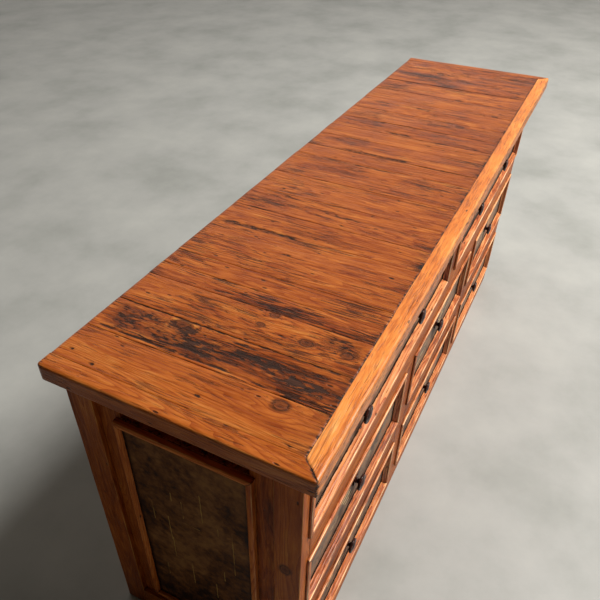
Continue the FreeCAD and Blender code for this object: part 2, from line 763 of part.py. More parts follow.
def drawer(name, x, z, knobs, drop):
    """One drawer whose moulding fills the rectangle x by z on the carcass front."""
    tag = name.replace("_", " ").title().replace(" ", "")
    length = x[1] - x[0]
    height = z[1] - z[0]
    corner = (x[0], front - s.mould_proud, z[0])
    members = moulding_frame(tag + "Moulding", corner, (1, 0), 0, length, height, drawer_member)

    out_x = (x[0] + s.lap + s.side_play, x[1] - s.lap - s.side_play)
    out_z = (z[0] + s.lap + s.fit, z[1] - s.lap - s.top_play)
    side_z = (out_z[0], out_z[1] - s.side_drop)
    left = (out_x[0], out_x[0] + s.side_thick)
    right = (out_x[1] - s.side_thick, out_x[1])
    box_y = (front_y[1], back_inside - s.behind_drawer)
    groove_z = (out_z[0] + s.groove_up, out_z[0] + s.groove_up + s.box_bottom_thick)

    blank = board(tag + "FrontBlank", out_x, front_y, out_z)
    glue = s.fit / 2
    sockets = tails(tag + "SocketLeft", (left[0] - 5, left[1]), front_y[1] + glue, side_z, glue)
    sockets += tails(tag + "SocketRight", (right[0] - glue, right[1] + 5), front_y[1] + glue,
                     side_z, glue)
    sockets.append(board(tag + "FrontGroove", (left[1] - s.groove_deep, right[0] + s.groove_deep),
                         (front_y[1] - s.groove_deep, front_y[1] + 5),
                         (groove_z[0] - glue, groove_z[1] + glue)))
    front_board = cut(tag + "FrontBoard", blank, fuse(tag + "Sockets", sockets))
    node(group(tag + "Front", [front_board] + members), f"{name}_front")

    edge = s.mould_width - s.rebate + s.slate_play
    node(board(tag + "Slate", (x[0] + edge, x[1] - edge), (slate_y, front_y[0]),
               (z[0] + edge, z[1] - edge)), f"{name}_slate")

    solids = []
    for number, span in enumerate((left, right)):
        plain = board(f"{tag}Side{number}Board", span, box_y, side_z)
        both = fuse(f"{tag}Side{number}Tailed",
                    [plain] + tails(f"{tag}Tail{number}", span, front_y[1], side_z, zero))
        if number == 0:
            groove_x = (span[1] - s.groove_deep, span[1] + 5)
        else:
            groove_x = (span[0] - 5, span[0] + s.groove_deep)
        groove = board(f"{tag}Groove{number}", groove_x, (box_y[0] - 50, box_y[1] + 5),
                       (groove_z[0] - glue, groove_z[1] + glue))
        solids.append(cut(f"{tag}Side{number}", both, groove))
    solids.append(board(tag + "Back", (left[1], right[0]),
                        (box_y[1] - s.box_back_thick, box_y[1]), (groove_z[1] + glue, side_z[1])))
    play = s.groove_deep - s.fit
    solids.append(board(tag + "Bottom", (left[1] - play, right[0] + play),
                        (front_y[1] - play, box_y[1]), groove_z))
    node(group(tag + "Box", solids), f"{name}_box")

    middle = (x[0] + x[1]) / 2
    height_at = (z[0] + z[1]) / 2 - drop
    if knobs == 1:
        turned = knob(tag + "Knob", middle, slate_y, height_at)
        node(turned, f"{name}_knob")
        return
    pair = []
    for number, side in enumerate((-1, 1)):
        pair.append(knob(f"{tag}Knob{number + 1}", middle + s.knob_apart / 2 * side, slate_y,
                         height_at))
    node(group(tag + "Knobs", pair), f"{name}_knobs")


for number, letter in enumerate("ab"):
    x0 = -half + s.post_reveal + (wide + s.muntin_reveal) * number
    drawer(f"drawer_top_{letter}", (x0, x0 + wide), (row_top, row_top + row_high), 2,
           s.knob_drop_wide)
for row, base in (("middle", row_middle), ("low", row_low)):
    for number, letter in enumerate("abc"):
        x0 = -half + s.post_reveal + (narrow + s.muntin_reveal) * number
        drawer(f"drawer_{row}_{letter}", (x0, x0 + narrow), (base, base + row_high), 1,
               s.knob_drop_narrow)

doc.recompute()

# Every object must be sound before anything is written.
for item in doc.Objects:
    bad = [state for state in item.State if state in ("Invalid", "Error")]
    assert not bad, f"{item.Name}: {bad}"
os.makedirs("parts", exist_ok=True)
for item in NODES:
    shape = item.Shape
    assert not shape.isNull() and shape.isValid(), item.Label
    assert shape.Solids, item.Label
for item in NODES:
    item.Shape.exportStep(os.path.join("parts", item.Label + ".step"))
print(len(NODES), "sub-parts,", sum(len(item.Shape.Solids) for item in NODES), "solids")
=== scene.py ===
import math

import bpy
import numpy as np
from mathutils import Matrix, Vector


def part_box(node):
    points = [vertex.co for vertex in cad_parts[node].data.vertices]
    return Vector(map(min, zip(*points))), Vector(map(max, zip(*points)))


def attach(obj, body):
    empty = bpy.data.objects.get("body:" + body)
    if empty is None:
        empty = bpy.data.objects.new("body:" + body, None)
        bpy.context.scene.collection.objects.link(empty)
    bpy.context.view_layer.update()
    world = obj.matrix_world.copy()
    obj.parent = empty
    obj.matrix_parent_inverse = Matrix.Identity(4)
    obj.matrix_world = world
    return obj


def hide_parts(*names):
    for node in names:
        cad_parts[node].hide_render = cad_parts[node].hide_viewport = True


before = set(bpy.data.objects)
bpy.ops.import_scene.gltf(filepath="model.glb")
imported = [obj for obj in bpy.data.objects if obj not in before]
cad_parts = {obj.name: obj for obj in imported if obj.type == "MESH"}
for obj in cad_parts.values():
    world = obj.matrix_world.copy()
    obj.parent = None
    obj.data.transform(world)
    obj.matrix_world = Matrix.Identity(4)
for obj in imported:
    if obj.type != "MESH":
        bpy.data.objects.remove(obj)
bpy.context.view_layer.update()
rng = np.random.default_rng(41)

# Posts: four squared sticks of reclaimed pine that stand on the floor, planed by hand, stained
# and waxed. The front pair is mortised for the rails. Their arrises are rubbed down to bare wood.

POST_ARRIS = 2.0            # mm
FLANK = 2.2                 # mm from an arris to where its wear has died out
STEP_ALONG = 12.0           # mm between two stations along the grain
END_DIRT = 2.0              # mm over which a joint's dirt dies out along a timber
END_ROUND = 0.6             # rounding of a timber's ends, as a share of its arris
END_RING = 3.0              # mm from there to the next ring of points
PLANED = 55.0               # mm from one hollow of the plane to the next
LOG = 9000                  # mm of a log's length, somewhere in which a timber's grain begins
NO_KNOT = 9.0               # a distance in knot radii at which no knot shows
POST_KNOT = (-188, 493, 12)  # y, z and radius of the knot on one post's outer face, in mm
UNDER_TOP = 815.0           # underside of the top
LIFT = 2.0                  # lowest rails above the floor
BARE = "#e0b26c"            # pine under the stain
SIDES = ((-1, "left"), (1, "right"))


def linear(colour):
    """A hex colour as the linear red, green, blue and alpha of a shader."""
    channels = [int(colour[k:k + 2], 16) / 255 for k in (1, 3, 5)]
    return tuple(c / 12.92 if c <= 0.04045 else ((c + 0.055) / 1.055) ** 2.4 for c in channels) + (1,)


def add(tree, kind, inputs=None, **settings):
    """Adds a node, sets its options, and fills its sockets with values or other sockets."""
    node = tree.nodes.new("ShaderNode" + kind)
    for name, value in settings.items():
        setattr(node, name, value)
    for name, value in (inputs or {}).items():
        socket = node.inputs[name]
        if isinstance(value, bpy.types.NodeSocket):
            tree.links.new(value, socket)
        else:
            socket.default_value = value
    return node


def blank(name):
    """A new material and its empty tree of nodes."""
    material = bpy.data.materials.new(name)
    material.use_nodes = True
    material.node_tree.nodes.clear()
    return material, material.node_tree


def fact(tree, name):
    """What the mesh says at each point under a name: its vector and its number."""
    return add(tree, "Attribute", attribute_name=name).outputs


def split(tree, value):
    """The three parts of a vector."""
    return add(tree, "SeparateXYZ", {0: value}).outputs


def calc(tree, operation, *values):
    """The result of one step of arithmetic."""
    return add(tree, "Math", dict(enumerate(values)), operation=operation).outputs[0]


def vector(tree, operation, *values):
    """The result of one step of arithmetic on vectors."""
    return add(tree, "VectorMath", dict(enumerate(values)), operation=operation).outputs[0]


def ramp(tree, value, start, end, low=0.0, high=1.0):
    """A value that goes from low to high while another goes from start to end."""
    return add(tree, "MapRange", {"Value": value, "From Min": start, "From Max": end, "To Min": low,
                                  "To Max": high}).outputs[0]


def noise(tree, place, scale=1.0, detail=2.0, roughness=0.5, distortion=0.0):
    """Noise with so many repeats in a metre: its value and its colour."""
    return add(tree, "TexNoise", {"Vector": place, "Scale": scale, "Detail": detail, "Roughness": roughness,
                                  "Distortion": distortion}).outputs


def graded(tree, value, stops):
    """A colour that runs through a row of stops as a value rises."""
    node = add(tree, "ValToRGB", {0: value})
    elements = node.color_ramp.elements
    for number, (at, colour) in enumerate(stops):
        element = elements[number] if number < len(elements) else elements.new(at)
        element.position = at
        element.color = linear(colour)
    return node.outputs["Color"]


def over(tree, share, below, colour, blend="MIX"):
    """One colour laid over another in some share."""
    return add(tree, "Mix", {0: share, 6: below, 7: colour}, data_type="RGBA", blend_type=blend).outputs[2]


def finish(tree, colour, roughness, specular, height, strength, depth):
    """Ends a tree in its shader, with a fine relief of a given depth in metres."""
    relief = add(tree, "Bump", {"Strength": strength, "Distance": depth, "Height": height}).outputs[0]
    shader = add(tree, "BsdfPrincipled", {"Base Color": colour, "Roughness": roughness,
                                          "Specular IOR Level": specular, "Normal": relief})
    add(tree, "OutputMaterial", {"Surface": shader.outputs[0]})


def drift(points, size, seed):
    """Smooth random values from -1 to 1, over cells of the given size in mm."""
    place = np.asarray(points, float) / size
    cell = np.floor(place).astype(np.int64)
    t = place - cell
    t = t * t * (3 - 2 * t)
    total = np.zeros(len(place))
    for corner in np.ndindex(2, 2, 2):
        key = (cell + corner) @ np.array((374761393, 668265263, 2147483647)) + seed * 974634777
        key = (key ^ (key >> 13)) * 1274126177
        value = ((key ^ (key >> 16)) & 0xFFFF) / 32767.5 - 1
        share = np.prod(np.where(corner, t, 1 - t), axis=1)
        total += share * value
    return total


def unit_vector(v):
    """The direction of a vector."""
    return v / np.linalg.norm(v)


def skin(rings):
    """Faces round a row of closed rings, with a cap on the first and the last."""
    count, around = rings.shape[:2]
    faces = []
    for ring in range(count - 1):
        for k in range(around):
            a, b = ring * around + k, ring * around + (k + 1) % around
            faces.append((a, b, b + around, a + around))
    faces.append(tuple(range(around))[::-1])
    faces.append(tuple(range((count - 1) * around, count * around)))
    return faces


def outline(half_u, half_v, radii, splits):
    """A squared section with rounded arrises, anticlockwise, and the wear at each of its points."""
    points, wear, arcs = [], [], []
    for number, sign in enumerate(((1, 1), (-1, 1), (-1, -1), (1, -1))):
        radius = radii[number]
        centre = np.array(sign) * (half_u - radius, half_v - radius)
        turns = [math.radians(90 * number + turn) for turn in (0, 30, 60, 90)]
        arcs.append([centre + radius * np.array((math.cos(a), math.sin(a))) for a in turns])
    for number in range(4):
        points += arcs[number]
        wear += [0.35, 1.0, 1.0, 0.35]
        start, end = arcs[number][-1], arcs[(number + 1) % 4][0]
        for share in splits[number]:
            points.append(start + (end - start) * share)
            wear.append(0.0)
    return np.array(points), np.array(wear)


def face_splits(length, step):
    """Where a face between two arrises is divided, as shares of its length."""
    flank = min(FLANK, length / 3) / length
    count = max(1, round(length * (1 - 2 * flank) / step))
    return [flank + (1 - 2 * flank) * k / count for k in range(count + 1)]


def timber(low, high, along, arris=1.2, steps=(60, 60), mitre=(0, 0), rough=0.25, dirt=(0.5, 0.5),
           step_along=STEP_ALONG, tone=None):
    """A squared timber between two corners, in mm, with its grain along one axis.

    steps divides the faces across the two other axes, mitre slants the two ends over the first
    of these, rough is the depth in mm that the plane left uneven, and dirt darkens the ends where
    they meet another timber."""
    low, high = np.array(low, float), np.array(high, float)
    u_axis, v_axis = (along + 1) % 3, (along + 2) % 3
    size = high - low
    half_u, half_v = size[u_axis] / 2, size[v_axis] / 2
    radii = np.broadcast_to(np.array(arris, float), 4)
    widest, edge = radii.max(), radii.min()
    splits = [face_splits(2 * (half - widest), step) for half, step in zip((half_u, half_v), steps)] * 2
    length = size[along]
    seed = int(rng.integers(1, 10 ** 6))
    count = max(2, round((length - 2 * edge) / step_along))
    stations = [edge + (length - 2 * edge) * k / count for k in range(count + 1)]
    rows = [(0, edge + END_RING, 0.2), (0, edge * END_ROUND, 1.0)]
    rows += [(station, 0, 0) for station in stations]
    rows += [(length, edge * END_ROUND, 1.0), (length, edge + END_RING, 0.2)]
    worn = drift([(row[0], seed, 0) for row in rows], 70, seed)
    rings, wears = [], []
    for (station, inset, end_wear), amount in zip(rows, worn):
        rounds = radii * (1 + 0.3 * amount) - min(inset, edge * END_ROUND) * 0.5
        section, wear = outline(half_u - inset, half_v - inset, rounds, splits)
        ring = np.zeros((len(section), 3))
        across = section[:, 0] + half_u
        slant = mitre[0] * across * (1 - station / length) - mitre[1] * across * (station / length)
        ring[:, along] = low[along] + station + slant
        ring[:, u_axis] = low[u_axis] + across
        ring[:, v_axis] = low[v_axis] + section[:, 1] + half_v
        rings.append(ring)
        wears.append(np.maximum(wear, end_wear))
    rings = np.array(rings)
    verts = rings.reshape(-1, 3)
    wear = np.concatenate(wears)
    for axis in (u_axis, v_axis):
        verts[:, axis] += rough * drift(verts + 37 * axis, PLANED, seed + axis)
    verts = np.clip(verts, low, high)
    reach = verts[:, along] - low[along]
    from_end = np.repeat([row[0] for row in rows], rings.shape[1])
    low_end, high_end = np.exp(-from_end / END_DIRT), np.exp((from_end - length) / END_DIRT)
    ends = np.maximum(dirt[0] * low_end, dirt[1] * high_end)
    marks = np.stack((wear, ends, np.full(len(wear), NO_KNOT)), axis=1)
    pith = rng.uniform((-60, -90), (60, -25)) * (1, rng.choice((-1, 1)))
    grain = np.stack((reach + rng.uniform(0, LOG), verts[:, u_axis] - low[u_axis] - half_u + pith[0],
                      verts[:, v_axis] - low[v_axis] - half_v + pith[1]), axis=1) / 1000
    shade = rng.uniform(0, 1) if tone is None else tone
    return verts, skin(rings), grain, marks, shade


def assemble(name, parts, material, body, nodes):
    """Makes one object of one or more pieces, lets it ride on its body and stand for its nodes."""
    verts, faces, grains, marks, tones = [], [], [], [], []
    for part_verts, part_faces, grain, mark, tone in parts:
        first = sum(len(v) for v in verts)
        faces += [tuple(first + k for k in face) for face in part_faces]
        verts.append(part_verts)
        grains.append(grain)
        marks.append(mark)
        tones.append(np.full(len(part_verts), tone))
    mesh = bpy.data.meshes.new(name)
    mesh.from_pydata((np.concatenate(verts) / 1000).tolist(), [], faces)
    for key, kind, field, values in (("grain", "FLOAT_VECTOR", "vector", grains),
                                     ("marks", "FLOAT_VECTOR", "vector", marks),
                                     ("tone", "FLOAT", "value", tones)):
        attribute = mesh.attributes.new(key, kind, "POINT")
        attribute.data.foreach_set(field, np.concatenate(values).astype(np.float32).ravel())
    mesh.shade_smooth()
    mesh.materials.append(material)
    item = bpy.data.objects.new(name, mesh)
    bpy.context.collection.objects.link(item)
    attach(item, body)
    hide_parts(*nodes)


def span(node):
    """A node's lowest and highest corner in mm."""
    return [np.array(corner) * 1000 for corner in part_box(node)]


def waxed_pine(name, colours, bare=BARE, wear=0.8, gloss=0.40, bump=0.6, cracks=0.25, specular=0.25,
               rings=0.6):
    """Reclaimed pine, stained and waxed: orange, in short brown streaks along the grain, with
    growth rings, dark hairline cracks, knots and dents. The lower a timber's tone, the darker and
    livelier it is. The wax lies thin, so it shines softly, fills what is torn with black dirt, and
    is gone on the arrises, where the bare wood is pale."""
    material, tree = blank(name)

    def stretched(place, along, across, detail, roughness=0.55):
        """Noise drawn out along the grain: so many repeats in a metre along it and across it."""
        return noise(tree, vector(tree, "MULTIPLY", place, (along, across, across)), 1.0, detail, roughness)

    grain = fact(tree, "grain")["Vector"]
    tone = fact(tree, "tone")["Fac"]
    rubbed, dirt_and_shade, knot = split(tree, fact(tree, "marks")["Vector"])
    wobble = stretched(grain, 4, 14, 3.0)["Color"]
    bent = vector(tree, "MULTIPLY_ADD", wobble, (0, 0.020, 0.020), grain)

    # The figure of the wood, from single fibres to broad clouds of stain.
    fibre = stretched(bent, 32, 300, 3.0, 0.6)["Fac"]
    streak = stretched(bent, 12, 130, 4.0, 0.65)["Fac"]
    band = stretched(bent, 2.6, 36, 3.0)["Fac"]
    cloud = stretched(grain, 9, 17, 4.0, 0.62)["Fac"]
    lively = ramp(tree, tone, 0.1, 0.9, 1.4, 0.5)
    mixed = 0.0
    for source, weight in ((fibre, 0.34), (streak, 0.36), (band, 0.42), (cloud, 0.36)):
        mixed = calc(tree, "MULTIPLY_ADD", calc(tree, "SUBTRACT", source, 0.5), weight, mixed)
    mixed = calc(tree, "MULTIPLY_ADD", mixed, lively, ramp(tree, tone, 0.0, 1.0, 0.45, 0.56))
    wood = graded(tree, mixed, colours)

    # Growth rings, met along the grain: the late wood begins softly and ends in a sharp line.
    ring = calc(tree, "MULTIPLY", stretched(bent, 0.9, 13, 2.0, 0.45)["Fac"], 34.0)
    late = ramp(tree, calc(tree, "FRACT", ring), 0.45, 0.98, 0.0, rings)
    wood = over(tree, late, wood, linear("#b98462"), "MULTIPLY")

    # Hairline cracks, which crowd in some places.
    crowd = stretched(grain, 5, 17, 2.0)["Fac"]
    crack = stretched(bent, 14, 330, 3.0, 0.6)["Fac"]
    crack = ramp(tree, calc(tree, "MULTIPLY_ADD", crowd, -0.55, crack), 0.15, 0.095)
    crack = calc(tree, "MULTIPLY", crack, calc(tree, "MULTIPLY", lively, cracks))
    wood = over(tree, crack, wood, linear("#2c1409"))

    # Dirt, and on the front rail's face painted shade: a brown stain that deepens to black where the fibres
    # are torn, burnt or rotted.
    patch = stretched(bent, 10, 55, 4.0, 0.75)["Fac"]
    shred = stretched(bent, 60, 190, 3.0, 0.6)["Fac"]
    ragged = calc(tree, "MULTIPLY_ADD", calc(tree, "MULTIPLY_ADD", shred, 0.9, patch), 3.3, -2.45)
    torn = calc(tree, "MULTIPLY_ADD", dirt_and_shade, ragged, ramp(tree, dirt_and_shade, 0.88, 1.0, 0.0, 0.7))
    for share in (ramp(tree, dirt_and_shade, 0.0, 0.8, 0.0, 0.25), ramp(tree, torn, 0.15, 0.5, 0.0, 0.6)):
        wood = over(tree, share, wood, linear("#3d1b0a"))
    black = ramp(tree, torn, 0.47, 0.58)
    wood = over(tree, black, wood, graded(tree, streak, ((0.35, "#1c110c"), (0.65, "#462719"))))

    # Dents and nail marks: small dark specks, longer along the grain.
    dents = add(tree, "TexVoronoi", {"Vector": vector(tree, "MULTIPLY", grain, (18, 50, 50)), "Scale": 1.0})
    chosen = add(tree, "SeparateColor", {0: dents.outputs["Color"]}).outputs[0]
    dent = calc(tree, "MULTIPLY", ramp(tree, dents.outputs["Distance"], 0.07, 0.12, 0.85, 0.0),
                calc(tree, "GREATER_THAN", chosen, 0.9 - cracks))
    wood = over(tree, dent, wood, linear("#2a140a"))

    # Knots: a dark ring round a brown heart.
    from_heart = calc(tree, "MULTIPLY_ADD", calc(tree, "SUBTRACT", streak, 0.5), 0.9, knot)
    from_heart = calc(tree, "MULTIPLY_ADD", calc(tree, "SUBTRACT", patch, 0.5), 1.0, from_heart)
    heart = graded(tree, from_heart, ((0.0, "#2a110a"), (0.25, "#5b2a11"), (0.6, "#763a17"),
                                      (0.78, "#1d0d07"), (0.9, "#4d2410")))
    wood = over(tree, ramp(tree, from_heart, 0.8, 1.3, 0.88, 0.0), wood, heart)

    # Bare wood on the arrises, in broken lines.
    rub = calc(tree, "MULTIPLY", stretched(grain, 12, 210, 3.0, 0.6)["Fac"], rubbed)
    wood = over(tree, ramp(tree, rub, 0.36, 0.54, 0.0, wear), wood, linear(bare))

    rough = ramp(tree, cloud, 0.3, 0.7, gloss - 0.06, gloss + 0.10)
    rough = calc(tree, "MULTIPLY_ADD", black, 0.2, rough)
    height = 0.0
    for source, weight in ((fibre, 0.6), (streak, 1.2), (cloud, 0.5), (late, 0.25), (crack, -0.8),
                           (black, -1.4), (dent, -1.0)):
        height = calc(tree, "MULTIPLY_ADD", source, weight, height)
    finish(tree, wood, rough, specular, height, bump, 0.0016)
    return material


carcass_pine = waxed_pine(
    "waxed_pine_carcass", ((0.28, "#4a210a"), (0.43, "#883f10"), (0.56, "#ab5c21"), (0.76, "#cb8840")),
    wear=0.35, specular=0.07)
for corner in ("front_left", "front_right", "back_left", "back_right"):
    low, high = span("post_" + corner)
    post = timber(low, high, 2, POST_ARRIS, (12, 4), dirt=(0.9, 0.2), step_along=6)
    if corner == "front_left":
        verts, marks = post[0], post[3]
        away = np.hypot(verts[:, 1] - POST_KNOT[0], (verts[:, 2] - POST_KNOT[1]) * 0.8) / POST_KNOT[2]
        marks[:, 2] = np.where(verts[:, 0] < low[0] + 3, away, NO_KNOT)
    assemble(f"post_{corner}_timber", [post], carcass_pine, "carcass", ["post_" + corner])

# Front rails and muntins: pine sticks 40 mm deep, tenoned into the posts and into each other,
# so their joints show as thin dark lines. They are finished like the posts.

RAIL_ARRIS = 1.0
RAIL_X = 894.0              # where the posts begin
MUNTIN_X = 312.0            # middle of a lower muntin
MUNTIN_HALF = 42.0

for name in ("bottom", "middle", "upper", "top"):
    low, high = span("front_rail_" + name)
    cuts = [-RAIL_X, RAIL_X]
    if name == "middle":
        cuts = [-RAIL_X, -MUNTIN_X - MUNTIN_HALF, -MUNTIN_X + MUNTIN_HALF,
                MUNTIN_X - MUNTIN_HALF, MUNTIN_X + MUNTIN_HALF, RAIL_X]
    sticks = []
    for start, end in zip(cuts[::2], cuts[1::2]):
        sticks.append(timber((start, low[1], low[2]), (end, high[1], high[2]), 0, RAIL_ARRIS, (20, 10)))
    assemble(f"front_rail_{name}_timber", sticks, carcass_pine, "carcass",
             ["front_rail_" + name])
for name in ("muntin_top_row", "muntin_lower_left", "muntin_lower_right"):
    low, high = span(name)
    assemble(name + "_timber", [timber(low, high, 2, RAIL_ARRIS, (12, 20))], carcass_pine, "carcass",
             [name])

# Ends: a bottom rail flush with the posts, and two stiles and a rail set 12 mm behind them round a
# flat field, with a deep rail above that lies further back and is always in the top's shadow.

POST_X = 929.5
END_Y = (-165.0, 202.0)     # between the posts
STILE = 50.0
END_SET = 12.0              # frame and field behind the posts' face
DEEP_SET = 25.0             # back of the field, and face of the deep rail
END_THICK = 35.5            # back of the frame
END_RAIL = 70.0             # upper edge of the bottom rail
FIELD_Z = (108.0, 711.0)    # the field behind the slate and its moulding
DEEP_RAIL = 697.0           # lower edge of the deep rail
near, far = END_Y[0] + STILE, END_Y[1] - STILE
# Face and back behind the posts' face, from and to along Y and Z, grain, arris, steps.
END_STICKS = ((0, END_THICK, *END_Y, LIFT, END_RAIL, 1, 1.5, (12, 20)),
              (END_SET, END_THICK, END_Y[0], near, END_RAIL, UNDER_TOP, 2, 0.8, (20, 12)),
              (END_SET, END_THICK, far, END_Y[1], END_RAIL, UNDER_TOP, 2, 0.8, (20, 12)),
              (END_SET, END_THICK, near, far, END_RAIL, FIELD_Z[0], 1, 0.8, (12, 20)),
              (END_SET, DEEP_SET, near, far, *FIELD_Z, 2, 0.5, (20, 60)),
              (DEEP_SET, END_THICK, near, far, DEEP_RAIL, UNDER_TOP, 1, 0.5, (20, 20)))
for side, name in SIDES:
    sticks = []
    for face, back, front, rear, bottom, top, along, arris, steps in END_STICKS:
        x = sorted((side * (POST_X - face), side * (POST_X - back)))
        sticks.append(timber((x[0], front, bottom), (x[1], rear, top), along, arris, steps))
    assemble(f"end_frame_{name}_timbers", sticks, carcass_pine, "carcass",
             ["end_frame_" + name])

# End mouldings: four lengths of pine with a rounded outer arris and a slanted inner side,
# mitred at the corners and pinned to the frame, so that their lip holds the slate.

# Corners of the section: depth behind the crest, distance inwards, rounding, dirt.
END_SECTION = ((0, 0, 3.5, 0), (0, 5.5, 0, 0), (0, 11, 1.75, 0), (6.8, 13.5, 0, 0.1), (8.2, 14, 0.4, 0.8),
               (8.2, 10, 0, 1), (14, 10, 0, 1), (14, 0, 0.3, 0.9), (12, 0, 0, 0.3))
MITRE_GAP = 0.12            # each length stops this short of its mitre
FIRST_RING = 3.0            # mm from a mitre to the next ring of points
HAND_WAVE = 0.25            # mm that a hand-planed crest rises and falls
CREST_DEPTH = 6.0           # mm behind the crest that this reaches


def rounded(section):
    """A section's outline with its corners rounded, and wear and dirt at each of its points."""
    points, wear, dirt = [], [], []
    count = len(section)
    for number, (depth, inward, radius, dark) in enumerate(section):
        here = np.array((depth, inward), float)
        if radius < 0.2:
            points.append(here)
            wear.append(0.0)
            dirt.append(dark)
            continue
        before = unit_vector(np.array(section[number - 1][:2], float) - here)
        after = unit_vector(np.array(section[(number + 1) % count][:2], float) - here)
        opening = math.acos(np.clip(before @ after, -1, 1))
        tangent = radius / math.tan(opening / 2)
        centre = here + unit_vector(before + after) * radius / math.sin(opening / 2)
        start, end = here + before * tangent - centre, here + after * tangent - centre
        steps = 7 if radius > 2 else 3
        for k in range(steps):
            share = k / (steps - 1)
            points.append(centre + unit_vector(start * (1 - share) + end * share) * radius)
            wear.append(math.sin(math.pi * share) ** 2)
            dirt.append(dark)
    return np.array(points), np.array(wear), np.array(dirt)


def mitred_frame(section, origin, along, up, back, length, height):
    """Four mitred lengths of a moulding round a rectangle, swept along its sides.

    origin is the rectangle's lower corner on the crest."""
    points, wear, dark = rounded(section)
    origin, along, up, back = (np.array(v, float) for v in (origin, along, up, back))
    corners = [origin, origin + along * length, origin + along * length + up * height, origin + up * height]
    lengths = []
    for number, start in enumerate(corners):
        run = corners[(number + 1) % 4] - start
        reach = np.linalg.norm(run)
        run /= reach
        inward = unit_vector(corners[(number + 2) % 4] - corners[(number + 1) % 4])
        seed = int(rng.integers(1, 10 ** 6))
        count = max(3, round(reach / STEP_ALONG))
        shares = [0, FIRST_RING / reach] + [k / count for k in range(1, count)] + [1 - FIRST_RING / reach, 1]
        rings, marks, grains = [], [], []
        pith = rng.uniform((20, 20), (70, 60))
        shift = rng.uniform(0, LOG)
        for share in shares:
            at = points[:, 1] + MITRE_GAP + (reach - 2 * points[:, 1] - 2 * MITRE_GAP) * share
            ring = start + np.outer(at, run) + np.outer(points[:, 1], inward) + np.outer(points[:, 0], back)
            wave = HAND_WAVE * (1 + drift(ring, 40, seed)) * (points[:, 0] < CREST_DEPTH) * (0 < share < 1)
            ring += np.outer(wave, back)
            rings.append(ring)
            near = min(share, 1 - share) * reach
            dirt = np.maximum(0.7 * math.exp(-near / 1.5), dark)
            marks.append(np.stack((wear, dirt, np.full(len(wear), NO_KNOT)), axis=1))
            grain = np.stack((at + shift, points[:, 0] + pith[0], points[:, 1] + pith[1]), axis=1)
            grains.append(grain / 1000)
        rings = np.array(rings)
        faces = skin(rings)
        if np.dot(np.cross(back, inward), run) < 0:
            faces = [face[::-1] for face in faces]
        tone = rng.uniform(0, 1)
        lengths.append((rings.reshape(-1, 3), faces, np.concatenate(grains), np.concatenate(marks), tone))
    return lengths


end_pine = waxed_pine(
    "waxed_pine_end_moulding", ((0.28, "#5a2a0d"), (0.43, "#a2521a"), (0.56, "#c67030"), (0.76, "#dd9a54")),
    "#e0b070", wear=0.5, specular=0.07)
for side, name in SIDES:
    low, high = span("end_moulding_" + name)
    crest = low[0] if side < 0 else high[0]
    lengths = mitred_frame(END_SECTION, (crest, low[1], low[2]), (0, 1, 0), (0, 0, 1), (-side, 0, 0),
                           high[1] - low[1], high[2] - low[2])
    assemble(f"end_moulding_{name}_lengths", lengths, end_pine, "carcass",
             ["end_moulding_" + name])

# End slates: riven slate in one tall sheet at each end, split along its bed, so its face runs
# in low steps. It is a warm dark brown, with thin pale lines where it has cleft.

SLATE_STEP = 5.0            # mm between two points of a sheet
CLEFT = 0.27                # mm from one bed to the next
UNEVEN = 0.072              # mm of fine unevenness within a bed
DEEPEST = 1.92              # mm from the front of a sheet to its deepest bed
RIM_HIDDEN = 4.0            # mm of a sheet under the moulding's lip
RIM_DUST_AND_SHADE = 9.0              # mm of a sheet beside the lip where dust lies and shade is painted
KNOB_RUST_AND_SHADOW = (0.045, 0.070)  # metres from a knob where the rust and painted shadow begin to fade, and are gone
SHAKE = 0.002               # metres by which a vein's edges waver


